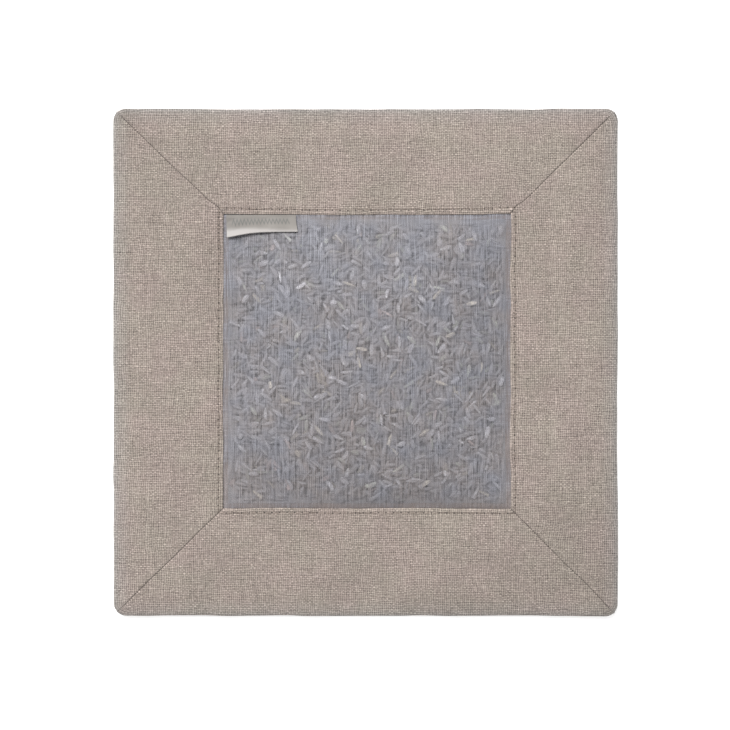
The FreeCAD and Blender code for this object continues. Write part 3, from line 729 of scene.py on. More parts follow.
LINEN_DARK, LINEN_LIGHT = (0.325, 0.266, 0.229), (0.58, 0.49, 0.435)
LINEN_TINTS = (0.968, 1.004, 0.990), (1.007, 0.996, 1.018)
RIM_SHEEN_AND_SHADE = (0.48, 0.48, 0.47)
SHEER_WARM, SHEER_COOL = (0.341, 0.311, 0.311), (0.312, 0.312, 0.348)
# The looks of each side are painted light and shade: the strip is darker on the bottom and right, the rim is
# painted sheen and shade, and the fold at the window is made paler.
SIDE_LOOKS = (  # tone of the strip, share and tone of its greyer rim, tone of the fold at the window
    (0.985, 0.50, 0.80, 1.28),
    (0.970, 0.50, 0.90, 1.25),
    (0.935, 0.45, 0.65, 1.10),
    (0.930, 0.55, 0.74, 1.10),
)
linen_by_side = [
    linen("linen_" + side, 11.0 + 7 * number, *look, mitred=True, warp_along=number % 2 == 1)
    for number, (side, look) in enumerate(zip(SIDES, SIDE_LOOKS))
]
linen_back = linen("linen_back", 53.0, 1.0, 0.4, 0.8, 1.0, mitred=False, warp_along=False)
sheer_material = sheer()
bud_material = dried_bud()
topstitch_material = thread("dark_linen_thread", (0.19, 0.15, 0.125), (0.29, 0.235, 0.20))
thread_material = thread("linen_thread", (0.20, 0.155, 0.125), (0.30, 0.245, 0.205))
lining_material = fine_cotton("lining_cotton", (0.36, 0.295, 0.27), (0.42, 0.35, 0.325), 0.4 * MM, 61.0)
interlining_material = fine_cotton(
    "fused_interlining", (0.60, 0.57, 0.52), (0.68, 0.65, 0.60), 0.5 * MM, 71.0)
tape_material = label_tape()


# --- Linen border strips.
border_swell = swell_border()
BORDER_PUFF = 0.55 * MM
border_swell *= BORDER_PUFF / max(border_swell.max(), TINY)


def arc(centre, radii, start, end, count):
    """Points of an ellipse's arc in (reach, height), both ends included, with angles in degrees."""
    angle = np.radians(np.linspace(start, end, count))
    return np.stack([centre[0] + radii[0] * np.cos(angle), centre[1] + radii[1] * np.sin(angle)], -1)


def section_line(start, end, count):
    return np.stack([np.linspace(start[0], end[0], count), np.linspace(start[1], end[1], count)], -1)


def strip_section():
    """The cloth's centre line across a strip as (reach, height) rows: in from the hem's raw edge, round
    the hem's fold, out over the face, down round the outer edge and back in along the seam allowance."""
    low, high = STRIP_LOW.z + CLOTH / 2, STRIP_HIGH.z - CLOTH / 2
    fold = (high - low) / 2
    hem = WINDOW_HALF + CLOTH / 2 + fold
    edge = HALF - CLOTH / 2
    near = np.arange(hem + 0.3 * MM, hem + 3.2 * MM, 0.3 * MM)
    far = np.linspace(near[-1] + 0.8 * MM, HALF - EDGE_ROUND - 0.5 * MM, 28)
    face = np.stack([np.concatenate([near, far]), np.full(len(near) + len(far), high)], -1)
    bend = (EDGE_ROUND - CLOTH / 2, high - low - FOLD_RADIUS)
    rows = [
        section_line((WINDOW_HALF + TURNED, low), (hem + 0.3 * MM, low), 6),
        arc((hem, (low + high) / 2), (fold, fold), -90, -270, 9),
        face,
        arc((HALF - EDGE_ROUND, low + FOLD_RADIUS), bend, 90, 0, 9),
        arc((edge - FOLD_RADIUS, low + FOLD_RADIUS), (FOLD_RADIUS, FOLD_RADIUS), -20, -90, 4),
        section_line((edge - FOLD_RADIUS - 0.4 * MM, low), (HALF - TURNED, low), 5),
    ]
    return np.concatenate(rows)


def column_shares():
    """Where the columns of a strip lie, from -1 at one mitre to 1 at the other. Every fifth one meets a
    needle hole, and both ends are crowded."""
    even = np.linspace(-1, 1, 5 * STITCHES_PER_SIDE + 1)
    ends = np.array([0, 0.08, 0.16, 0.26, 0.38, 0.55, 0.8, 1.2, 1.8]) * MM / WINDOW_HALF
    middle = even[(even > -1 + ends[-1] * 1.2) & (even < 1 - ends[-1] * 1.2)]
    return np.concatenate([-1 + ends, middle, (1 - ends)[::-1]])


HEM_BOW = (0.35 * MM, 0.1 * MM, 0.1 * MM, 0.1 * MM)


def hem_drift(along, side):
    """How far the hem's fold strays into the window."""
    bow = HEM_BOW[side] * (1 - (along / WINDOW_HALF) ** 2)
    return bow + 0.22 * MM * smooth_noise(along, along * 0, 17 * MM, 20 + side)


def stitch_pull(along, reach):
    """How far the topstitch pulls the face down: a shallow channel that is deepest at the needle holes."""
    from_line = (reach - STITCH_LINE) / (0.42 * MM)
    hole = np.abs((along + STITCH_LINE) / STITCH_PITCH - np.round((along + STITCH_LINE) / STITCH_PITCH))
    deep = np.exp(-((hole * STITCH_PITCH / (0.5 * MM)) ** 2))
    wide = np.exp(-(((reach - STITCH_LINE) / (1.6 * MM)) ** 2))
    return np.exp(-(from_line ** 2)) * (0.04 + 0.13 * deep) * MM + wide * 0.05 * MM


def face_rise(along, reach, side):
    """Height of a strip's face above its flat level: the simulated swelling, faint waves and the stitched
    channel."""
    flat = np.stack([along, reach], -1)
    world = turned(flat, side)
    puff = sample(border_swell, HALF, world[..., 0], world[..., 1])
    inner = np.clip((reach - STITCH_LINE) / (4 * MM), 0, 1)
    outer = np.clip((HALF - reach) / (4 * MM), 0, 1)
    waves = smooth_noise(along, reach, 13 * MM, 40 + side) * 0.10 * MM
    waves += smooth_noise(along, reach, 5 * MM, 50 + side) * 0.04 * MM
    pucker = np.exp(-(((reach - STITCH_LINE) / (2.5 * MM)) ** 2))
    waves += pucker * smooth_noise(along, reach, 2.6 * MM, 60 + side) * 0.07 * MM
    droop = np.clip((WINDOW_HALF + 1.4 * MM - reach) / (1.2 * MM), 0, 1) ** 2 * 0.30 * MM
    return puff + waves * np.minimum(inner, outer) + waves * 0.3 - stitch_pull(along, reach) - droop


def strip_shape(side):
    """One strip's centre surface as a grid, and its UVs in metres along and across the cloth."""
    section = strip_section()
    reach, height = section[:, 0], section[:, 1]
    run = np.concatenate([[0], np.cumsum(np.hypot(np.diff(reach), np.diff(height)))])
    share = column_shares()
    reach_grid = np.repeat(reach[:, None], len(share), 1)
    closed = np.clip((HALF - 1.5 * MM - reach_grid) / (4 * MM), 0.15, 1)
    along = share[None, :] * (reach_grid - MITRE_GAP * closed)
    high = STRIP_HIGH.z - CLOTH / 2
    on_face = np.clip((height - (high - 0.35 * MM)) / (0.35 * MM), 0, 1)[:, None]
    rise = face_rise(along, reach_grid, side) * on_face
    from_mitre = (reach_grid - MITRE_GAP - np.abs(along)) / math.sqrt(2)
    valley = np.exp(-((np.maximum(from_mitre, 0) / (0.24 * MM)) ** 1.3))
    rise -= valley * 0.42 * MM * on_face * closed
    near_hem = np.exp(-(np.maximum(reach_grid - WINDOW_HALF - 0.5 * MM, 0) / (6 * MM)) ** 2)
    drifted = reach_grid - hem_drift(along, side) * near_hem * np.clip(from_mitre / (6 * MM), 0, 1)
    x, y = rounded(along, drifted)
    points = np.stack([x, y, np.repeat(height[:, None], len(share), 1) + rise], -1)
    uv = np.stack([along, np.repeat(run[:, None], len(share), 1)], -1)
    return turned(points, side), uv, reach_grid


def add_reach(piece, reach):
    """Tells the linen material how far out each point of the face is. Points off the face are left far
    outside."""
    layer = piece.data.attributes.new("reach", "FLOAT", "POINT")
    full = np.full(len(piece.data.vertices), 1.0, np.float32)
    full[:len(reach)] = reach
    layer.data.foreach_set("value", full)


def mitre_allowance(side, end):
    """The seam allowance folded under the strip along one mitre: a flat band under the face."""
    low = STRIP_LOW.z + CLOTH / 2
    reach = np.linspace(WINDOW_HALF + TURNED + 0.3 * MM, HALF - TURNED - 0.3 * MM, 24)
    into = np.linspace(0.05 * MM, TURNED, 5)
    along = end * (reach[None, :] - MITRE_GAP - into[:, None] * math.sqrt(2))
    wave = smooth_noise(along, np.repeat(reach[None, :], 5, 0), 9 * MM, 90 + side) * 0.03 * MM
    points = np.stack([along, np.repeat(reach[None, :], 5, 0), low + wave], -1)
    uv = np.stack([along, np.repeat(reach[None, :], 5, 0)], -1)
    return turned(points if end > 0 else points[::-1], side), uv if end > 0 else uv[::-1]


def make_strip(side):
    points, uv, reach = strip_shape(side)
    parts = [sheet(points, CLOTH, uv)]
    for end in (-1, 1):
        band, band_uv = mitre_allowance(side, end)
        parts.append(sheet(band, CLOTH * 0.9, band_uv))
    verts, faces, uvs = joined(parts)
    name, node = "linen_strip_" + SIDES[side], "border_strip_" + SIDES[side]
    piece = pad_piece(name, node, verts, faces, linen_by_side[side], uvs)
    add_reach(piece, np.tile(reach.ravel(), 2))


def make_interlining(side):
    low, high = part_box("interlining_" + SIDES[side])
    thick = (high.z - low.z) * 0.7
    reach = np.linspace(WINDOW_HALF + TURNED + 0.3 * MM, HALF - TURNED - 0.3 * MM, 12)
    share = np.linspace(-1, 1, 60)
    slant = TURNED * math.sqrt(2) + 0.4 * MM
    along = share[None, :] * (reach[:, None] - slant)
    reach_grid = np.repeat(reach[:, None], len(share), 1)
    wave = smooth_noise(along, reach_grid, 15 * MM, 120 + side) * 0.04 * MM
    points = np.stack([along, reach_grid, (low.z + high.z) / 2 + wave], -1)
    uv = np.stack([along, reach_grid], -1)
    verts, faces, uvs = sheet(turned(points, side), thick, uv)
    name, node = "interlining_sheet_" + SIDES[side], "interlining_" + SIDES[side]
    pad_piece(name, node, verts, faces, interlining_material, uvs)


# --- Back panel.
def fine_steps(reach, coarse, fine_at, fine):
    """Grid places from -reach to reach: coarse steps, with finer ones round +-fine_at."""
    places = set(np.round(np.arange(-reach, reach + coarse / 2, coarse), 7))
    for sign in (-1, 1):
        for k in range(-5, 6):
            places.add(round(sign * fine_at + k * fine, 7))
    ordered = sorted(places)
    kept = [ordered[0]]
    for place in ordered[1:]:
        if place - kept[-1] > fine * 0.6:
            kept.append(place)
    kept[-1] = reach
    return np.array(kept)


def back_plate():
    """The back's plain part as a square grid inside the start of its rounded edge, with the bobbin's
    channel."""
    reach = HALF - EDGE_ROUND
    steps = fine_steps(reach, 3 * MM, STITCH_LINE, 0.3 * MM)
    x, y = np.meshgrid(steps, steps, indexing="ij")
    ring = ring_of(x, y)
    along = np.where(np.abs(x) > np.abs(y), y, x)
    px, py = rounded(along, ring)
    sx = np.where(np.abs(x) > np.abs(y), np.sign(x) * py, px)
    sy = np.where(np.abs(x) > np.abs(y), px, np.sign(y) * py)
    lift = 0.16 * MM * np.exp(-(((ring - STITCH_LINE) / (0.4 * MM)) ** 2))
    lift += (smooth_noise(x, y, 14 * MM, 140) + 1) * 0.04 * MM * (ring < reach - 4 * MM)
    return np.stack([sx, sy, BACK_LOW.z + CLOTH / 2 + lift], -1), np.stack([x, y], -1)


def back_edge(side):
    """A side of the back's rounded edge with its allowance turned in: rows go outwards, up and back in."""
    low, high = BACK_LOW.z + CLOTH / 2, BACK_HIGH.z - CLOTH / 2
    edge = HALF - CLOTH / 2
    bend = (EDGE_ROUND - CLOTH / 2, high - FOLD_RADIUS - low)
    section = np.concatenate([
        arc((HALF - EDGE_ROUND, high - FOLD_RADIUS), bend, -90, 0, 9),
        arc((edge - FOLD_RADIUS, high - FOLD_RADIUS), (FOLD_RADIUS, FOLD_RADIUS), 20, 90, 4),
        section_line((edge - FOLD_RADIUS - 0.4 * MM, high), (HALF - TURNED, high), 5),
    ])
    steps = fine_steps(HALF - EDGE_ROUND, 3 * MM, STITCH_LINE, 0.3 * MM)
    share = steps / (HALF - EDGE_ROUND)
    reach = np.repeat(section[:, 0][:, None], len(share), 1)
    along = share[None, :] * reach
    x, y = rounded(along, reach)
    run = np.concatenate([[0], np.cumsum(np.hypot(*np.diff(section, axis=0).T))]) + HALF - EDGE_ROUND
    points = np.stack([x, y, np.repeat(section[:, 1][:, None], len(share), 1)], -1)
    uv = np.stack([along, np.repeat(run[:, None], len(share), 1)], -1)
    return turned(points, side), turned(uv, side)


def make_back():
    plate, plate_uv = back_plate()
    parts = [sheet(plate, CLOTH, plate_uv)]
    for side in range(4):
        edge, edge_uv = back_edge(side)
        parts.append(sheet(edge[::-1], CLOTH, edge_uv[::-1]))
    verts, faces, uvs = joined(parts)
    piece = pad_piece("linen_back", "back_panel", verts, faces, linen_back, uvs)
    add_reach(piece, np.tile(ring_of(plate_uv[..., 0], plate_uv[..., 1]).ravel(), 2))


# --- Sheer window, lining and herbs.
sheer_swell, SHEER_REACH = swell_sheer()
SHEER_THICK = 0.08 * MM


def sheer_height(x, y):
    return SHEER_LOW.z + SHEER_THICK / 2 + sample(sheer_swell, SHEER_REACH, x, y)


def make_sheer(roof):
    reach = SHEER_HIGH.x - 0.3 * MM
    steps = np.concatenate([np.linspace(-reach, -WINDOW_HALF - 1 * MM, 6)[:-1],
                            np.linspace(-WINDOW_HALF - 1 * MM, WINDOW_HALF + 1 * MM, 190),
                            np.linspace(WINDOW_HALF + 1 * MM, reach, 6)[1:]])
    x, y = np.meshgrid(steps, steps, indexing="ij")
    z = np.where(ring_of(x, y) <= SHEER_REACH, roof(x, y), SHEER_LOW.z) + SHEER_THICK / 2
    verts, faces, uvs = sheet(np.stack([x, y, z], -1), SHEER_THICK, np.stack([x, y], -1))
    pad_piece("sheer_panel", "sheer_window", verts, faces, sheer_material, uvs)


def make_lining():
    reach = LINING_HIGH.x - 0.2 * MM
    steps = np.linspace(-reach, reach, 90)
    x, y = np.meshgrid(steps, steps, indexing="ij")
    wave = smooth_noise(x, y, 8 * MM, 160) * 0.03 * MM
    z = LINING_LOW.z + 0.12 * MM + wave
    verts, faces, uvs = sheet(np.stack([x, y, z], -1), 0.12 * MM, np.stack([x, y], -1))
    pad_piece("lining_cloth", "pocket_lining", verts, faces, lining_material, uvs)


CELL = 0.25 * MM
HERB_LEFT, HERB_RIGHT = -55.3 * MM, 55.4 * MM
HERB_BOTTOM, HERB_TOP = -55.4 * MM, 55.0 * MM
HERB_CORNER = 4.5 * MM
HEAP_DEPTH = 3.4 * MM
BUD_TRIES = 26000


def herb_inset(x, y):
    """How far inside the fill's rounded outline a point is. Points outside give a negative answer."""
    dx = np.maximum(HERB_LEFT + HERB_CORNER - x, x - HERB_RIGHT + HERB_CORNER)
    dy = np.maximum(HERB_BOTTOM + HERB_CORNER - y, y - HERB_TOP + HERB_CORNER)
    outer = np.hypot(np.maximum(dx, 0), np.maximum(dy, 0))
    inner = np.minimum(np.maximum(dx, dy), 0)
    return HERB_CORNER - outer - inner


def herb_ceiling(x, y):
    """Height that the herbs may reach: under the sheer panel, and falling away at the fill's outline."""
    inside = np.clip(herb_inset(x, y) / (0.7 * MM), 0, 1)
    full = sheer_height(x, y) - SHEER_THICK - 0.10 * MM
    return LINING_HIGH.z + (full - LINING_HIGH.z) * np.sqrt(inside)


# Kinds of herb: share, mean length and radius in millimetres, and flattening. The shares of the first four
# add up to 1, so no stalk is ever picked, but its templates still take their turn in the random draws.
KINDS = (
    ("closed", 0.46, 4.9, 0.86, 0.86),
    ("open", 0.30, 4.7, 0.84, 0.88),
    ("flat", 0.14, 4.4, 1.00, 0.60),
    ("broken", 0.10, 3.0, 0.80, 0.85),
    ("stalk", 0.003, 8.0, 0.30, 1.0),
)
FLAT = 2


def heap_buds():
    """Drops buds one by one onto the heap, each resting on those below it, while they stay under the
    sheer panel. Returns the placed buds and the heap's final height map."""
    rng = np.random.default_rng(7)
    count = int(2 * HERB_REACH / CELL) + 1
    steps = np.linspace(-HERB_REACH, HERB_REACH, count)
    x, y = np.meshgrid(steps, steps, indexing="ij")
    ceiling = herb_ceiling(x, y)
    height = np.maximum(LINING_HIGH.z, ceiling - HEAP_DEPTH)
    core = height.copy()
    t = np.repeat(np.linspace(-0.5, 0.5, 15), 5)
    w = np.tile(np.linspace(-0.9, 0.9, 5), 15)
    body = np.sqrt(np.clip(1 - (1.85 * t) ** 2, 0.05, 1))
    dome = np.sqrt(1 - w ** 2)
    shares = np.cumsum([kind[1] for kind in KINDS])
    placed = []
    for _ in range(BUD_TRIES):
        kind = min(int(np.searchsorted(shares, rng.uniform())), len(KINDS) - 1)
        yaw = rng.uniform(0, math.pi * 2)
        spots = rng.uniform(-HERB_REACH, HERB_REACH, (5, 2))
        at = np.round((spots + HERB_REACH) / CELL).astype(int)
        room = ceiling[at[:, 0], at[:, 1]] - height[at[:, 0], at[:, 1]]
        cx, cy = spots[room.argmax()]
        if room.max() < 1.5 * MM and kind < FLAT:
            kind = FLAT
        _, _, mean_length, mean_radius, flat = KINDS[kind]
        length = np.clip(rng.normal(mean_length, 0.6), 2.2, 10) * MM
        radius = mean_radius * np.clip(rng.normal(1, 0.15), 0.65, 1.35) * MM
        c, s = math.cos(yaw), math.sin(yaw)
        px = cx + t * length * c - w * radius * body * s
        py = cy + t * length * s + w * radius * body * c
        if herb_inset(px, py).min() < 0.1 * MM:
            continue
        ix = np.round((px + HERB_REACH) / CELL).astype(int)
        iy = np.round((py + HERB_REACH) / CELL).astype(int)
        under = height[ix, iy] + radius * flat * body * dome * 0.75
        low_end, high_end = under[t < -0.1].max(), under[t > 0.1].max()
        slope = np.clip((high_end - low_end) / (0.75 * length), -0.5, 0.5)
        centre = (under - slope * t * length).max() - 0.3 * MM
        crest = centre + slope * t * length + radius * flat * body * dome
        if (crest > ceiling[ix, iy]).any():
            continue
        height[ix, iy] = np.maximum(height[ix, iy], crest)
        placed.append((cx, cy, centre, yaw, math.atan(slope), length, radius, kind))
    return np.array(placed), height, core, steps


# Outlines from stalk end to tip, as (place along, share of the radius).
OUTLINES = {
    "closed": ((-0.5, 0.10), (-0.47, 0.34), (-0.36, 0.66), (-0.12, 0.95), (0.14, 1.0), (0.34, 0.84),
               (0.46, 0.55), (0.5, 0.16)),
    "open": ((-0.5, 0.10), (-0.46, 0.34), (-0.33, 0.60), (-0.06, 0.80), (0.20, 0.88), (0.38, 1.02),
             (0.5, 1.22), (0.43, 0.62), (0.30, 0.2)),
    "flat": ((-0.5, 0.12), (-0.46, 0.42), (-0.34, 0.76), (-0.10, 1.0), (0.16, 1.02), (0.36, 0.90),
             (0.46, 0.62), (0.5, 0.2)),
    "broken": ((-0.5, 0.45), (-0.47, 0.78), (-0.30, 0.95), (0.0, 1.0), (0.28, 0.9), (0.44, 0.6), (0.5, 0.2)),
    "stalk": ((-0.5, 0.7), (-0.49, 1.0), (-0.25, 0.92), (0.0, 1.0), (0.25, 0.9), (0.49, 1.0), (0.5, 0.7)),
}


def bud_template(rng, kind, sides):
    """One herb of length 1 and radius 1 along X: a ribbed tube with an uneven skin. Returns points,
    quads, and how pale each point is: paler on the ribs and darker in the grooves, partly the ribs'
    own pale down and partly painted highlight and shade."""
    outline = OUTLINES[kind]
    angle = np.arange(sides) * 2 * math.pi / sides
    ribbed = np.arange(sides) % 2 == 0
    rib = np.where(ribbed, 1.07, 0.84)
    bend = rng.uniform(-0.4, 0.4)
    points, pale = [], []
    for row, (along, size) in enumerate(outline):
        uneven = rng.uniform(0.86, 1.10, sides)
        tip = rng.uniform(-0.03, 0.04, sides) if row >= len(outline) - 3 else np.zeros(sides)
        ring = size * rib * uneven
        sag = bend * ((along * 2) ** 2 - 0.4)
        points.append(np.stack([along + tip, ring * np.cos(angle) + sag, ring * np.sin(angle)], -1))
        # The ribs' own paler down, with a painted highlight on the ribs and painted shade in the grooves.
        pale.append(np.where(ribbed, 1.16, 0.74) * rng.uniform(0.9, 1.1, sides))
    rows = len(outline)
    quads = ring_quads(rows, sides)
    caps = []
    for base, order in ((0, -1), ((rows - 1) * sides, 1)):
        ring = (base + np.arange(sides))[::order]
        for k in range(1, sides // 2):
            caps.append([ring[k - 1], ring[k], ring[sides - 1 - k], ring[(sides - k) % sides]])
    return np.concatenate(points), np.concatenate([quads, np.array(caps)]), np.concatenate(pale)


BUD_COLOURS = (  # share, colour at the stalk end, colour at the tip
    (0.48, (0.312, 0.307, 0.323), (0.273, 0.268, 0.292)),
    (0.22, (0.378, 0.374, 0.389), (0.327, 0.322, 0.348)),
    (0.18, (0.265, 0.26, 0.275), (0.24, 0.235, 0.258)),
    (0.07, (0.37, 0.38, 0.345), (0.31, 0.315, 0.305)),
    (0.035, (0.44, 0.41, 0.355), (0.39, 0.36, 0.33)),
    (0.015, (0.41, 0.345, 0.335), (0.36, 0.305, 0.31)),
)
STRAW, PINK = 4, 5
BUD_PIECES = 6
CORE_COLOUR = (0.33, 0.325, 0.34)
BURIED_DEPTH = 2.6 * MM        # herbs this far under the sheer panel have plainer shapes
SPOT_REACH = 2.4 * MM
# Places in millimetres, judged from the photo, where straw-coloured and pinkish herbs lie.
STRAW_SPOTS = ((-4, 3), (-18, -6), (-30, -16), (18, 31), (36, -12))
PINK_SPOTS = ((-38, -40), (6, 18))


def near_spots(placed, spots):
    """Which of the placed herbs lie at one of the spots."""
    near = np.zeros(len(placed), bool)
    for x, y in spots:
        near |= np.hypot(placed[:, 0] - x * MM, placed[:, 1] - y * MM) < SPOT_REACH
    return near


def bud_points(bud, points, roll, roof):
    """A template's points stretched, rolled, tilted and put in the heap, pressed flat where they touch
    the roof."""
    cx, cy, cz, yaw, pitch, length, radius, kind = bud
    p = points * np.array([length, radius, radius])
    cr, sr = math.cos(roll), math.sin(roll)
    y, z = p[:, 1] * cr - p[:, 2] * sr, (p[:, 1] * sr + p[:, 2] * cr) * KINDS[int(kind)][4]
    cp, sp = math.cos(pitch), math.sin(pitch)
    x, z = p[:, 0] * cp - z * sp, p[:, 0] * sp + z * cp
    cw, sw = math.cos(yaw), math.sin(yaw)
    x, y = cx + x * cw - y * sw, cy + x * sw + y * cw
    return np.stack([x, y, np.minimum(cz + z, roof(x, y) - 0.17 * MM)], -1)


def make_buds(placed, roof):
    rng = np.random.default_rng(11)
    buried = sheer_height(placed[:, 0], placed[:, 1]) - placed[:, 2] > BURIED_DEPTH
    fine = [[bud_template(rng, kind[0], 12 if kind[0] != "stalk" else 6) for _ in range(5)] for kind in KINDS]
    coarse = [[bud_template(rng, kind[0], 6) for _ in range(2)] for kind in KINDS]
    shares = np.cumsum([row[0] for row in BUD_COLOURS])
    crest = placed[:, 2] + placed[:, 6] * 0.8
    under = roof(placed[:, 0], placed[:, 1]) - crest
    # Painted light: herbs that lie close under the sheer are made paler, some much more than others.
    lit = np.clip(1 - under / (0.9 * MM), 0, 1) * rng.uniform(0, 1, len(placed)) ** 1.6
    fade = 1 - 0.07 * np.clip(-placed[:, 1] / HERB_REACH, 0, 1)
    straw = near_spots(placed, STRAW_SPOTS) & ~buried
    pink = near_spots(placed, PINK_SPOTS) & ~buried
    order = np.argsort(placed[:, 0] + 3 * MM * np.sin(placed[:, 1] * 90))
    for number, chunk in enumerate(np.array_split(order, BUD_PIECES)):
        verts, faces, colours, start = [], [], [], 0
        for item in chunk:
            shapes = (coarse if buried[item] else fine)[int(placed[item, 7])]
            points, quads, pale = shapes[rng.integers(len(shapes))]
            verts.append(bud_points(placed[item], points, rng.uniform(0, math.pi * 2), roof))
            faces.append(quads + start)
            colour = min(int(np.searchsorted(shares, rng.uniform())), len(BUD_COLOURS) - 1)
            colour = STRAW if straw[item] else PINK if pink[item] else colour
            _, base, tip = BUD_COLOURS[colour]
            along = np.clip(points[:, 0] + 0.5, 0, 1)[:, None]
            tone = rng.uniform(0.86, 1.12) * (1 + 1.35 * lit[item]) * fade[item]
            colours.append((np.array(base) * (1 - along) + np.array(tip) * along) * tone * pale[:, None])
            start += len(points)
        name = f"herb_buds_{number + 1}"
        verts, faces = np.concatenate(verts), np.concatenate(faces)
        piece = pad_piece(name, "herb_fill", verts, faces, bud_material, sharp=80)
        add_colour(piece, np.concatenate(colours))


def add_colour(piece, colour):
    layer = piece.data.color_attributes.new("bud_colour", "FLOAT_COLOR", "POINT")
    full = np.column_stack([colour, np.ones(len(colour))]).astype(np.float32)
    layer.data.foreach_set("color", full.ravel())


def make_core(core, steps):
    """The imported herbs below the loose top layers, as one lumpy closed body."""
    step = 4
    grid = core[::step, ::step]
    places = steps[::step]
    x, y = np.meshgrid(places, places, indexing="ij")
    lumps = smooth_noise(x, y, 1.6 * MM, 170) * 0.35 * MM
    inside = np.clip((herb_inset(x, y) - 1.4 * MM + lumps * 2.5) / (1 * MM), 0, 1)
    top = LINING_HIGH.z + 0.05 * MM + np.maximum(grid + lumps - 0.25 * MM - LINING_HIGH.z, 0) * inside
    top_points = np.stack([x, y, top], -1).reshape(-1, 3)
    low_points = top_points.copy()
    low_points[:, 2] = LINING_HIGH.z - 0.1 * MM
    verts, faces = np.concatenate([top_points, low_points]), closed_grid(*x.shape)
    piece = pad_piece("herb_core", "herb_fill", verts, faces, bud_material)
    add_colour(piece, np.tile(CORE_COLOUR, (len(verts), 1)))


def sheer_roof(height, steps):
    """The sheer panel's underside: the simulated crown, sunk a little between the herbs it rests on and
    gathered in small ripples at the hem."""
    smooth = height.copy()
    for _ in range(24):
        smooth[1:-1, 1:-1] = (smooth[1:-1, 1:-1] * 2 + smooth[:-2, 1:-1] + smooth[2:, 1:-1]
                              + smooth[1:-1, :-2] + smooth[1:-1, 2:]) / 6
    x, y = np.meshgrid(steps, steps, indexing="ij")
    gap = np.clip(herb_ceiling(x, y) - smooth, 0, 1.2 * MM)

    def roof(px, py):
        inside = np.clip((herb_inset(px, py) - 1 * MM) / (3 * MM), 0, 1)
        to_hem = WINDOW_HALF - ring_of(px, py)
        along = np.where(np.abs(px) > np.abs(py), py, px)
        gather = np.exp(-np.clip(to_hem, 0, None) / (4 * MM)) * np.clip(to_hem / (1 * MM), 0, 1)
        ripple = smooth_noise(along, to_hem * 0.35, 3.4 * MM, 180) * 0.30 * MM * gather
        dip = 0.25 * sample(gap, HERB_REACH, px, py) * inside
        return sheer_height(px, py) - SHEER_THICK / 2 + ripple - dip

    return roof


# --- Stitches and seam threads.
def stitch_run(side, line, count, rise_at, sink, radius, upwards=1.0):
    """Separate lockstitches along one side: each comes out of its hole, lies on the cloth and dives into
    the next."""
    pitch = 2 * line / count
    rng = np.random.default_rng(200 + side)
    parts = []
    for k in range(count):
        start = -line + k * pitch
        share = np.linspace(0, 1, 12)
        along = start + share * pitch
        lift = np.clip(np.sin(share * math.pi), 0, 1) ** 0.45
        sway = rng.normal(0, 0.05) * MM
        across = line + sway * np.sin(share * math.pi) + rng.normal(0, 0.03) * MM
        height = rise_at(along, np.full(12, line)) + upwards * (lift * (sink + radius * 0.7) - sink)
        points = turned(np.stack([along, across, height], -1), side)
        parts += twisted_thread(points, radius, start=along[0])
    return parts


def make_topstitch():
    parts = []
    for side in range(4):
        def rise(along, reach, side=side):
            return STRIP_HIGH.z + face_rise(along, reach, side) + 0.02 * MM
        parts += stitch_run(side, STITCH_LINE, STITCHES_PER_SIDE, rise, 0.4 * MM, THREAD_RADIUS)
    verts, faces, uvs = joined(parts)
    node = "window_topstitch_thread"
    pad_piece("topstitches", node, verts, faces, topstitch_material)


def make_hidden_run(name, node, upwards, sides_count):
    """A lockstitch run at the height and place of its CAD thread."""
    low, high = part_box(node)
    radius = (high.z - low.z) / 2
    line = high.x - radius
    parts = []
    for side in range(4):
        def rise(along, reach):
            return np.full(len(along), (low.z + high.z) / 2)
        parts += stitch_run(side, line, sides_count, rise, 0.1 * MM, radius * 0.9, upwards)
    verts, faces, uvs = joined(parts)
    pad_piece(name, node, verts, faces, thread_material)


def make_mitre_seam(corner):
    """The corner seam's stitches in the valley, seen as a run of small loops along the diagonal."""
    node = "mitre_seam_" + CORNERS[corner]
    low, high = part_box(node)
    radius = 0.1 * MM
    near, far = sorted((abs(low.x), abs(high.x)))
    count = 22
    parts = []
    angle = math.pi / 4 + corner * math.pi / 2
    for k in range(count):
        share = np.linspace(0, 1, 10)
        out = (near + (far - near) * (k + share) / count) * math.sqrt(2)
        z = (low.z + high.z) / 2 + 0.12 * MM * np.sin(share * math.pi) - 0.05 * MM
        path = np.stack([out * math.cos(angle), out * math.sin(angle), z], -1)
        parts += twisted_thread(path, radius, start=out[0])
    verts, faces, uvs = joined(parts)
    name = "corner_seam_" + CORNERS[corner]
    pad_piece(name, node, verts, faces, thread_material)


# --- Label.
TAPE_THICK = 0.14 * MM
LABEL_LEFT = -55.2 * MM
LIP = SEWN_Y[2] - 0.3 * MM      # where the hem's edge crosses the label
TAB_DEPTH = 4.5 * MM            # sewn in under the hem


def label_length(across):
    """The folded tape hangs lower at its left corner than along the rest."""
    return (5.85 + 2.15 * np.exp(-(across / 0.285) ** 1.5)) * MM


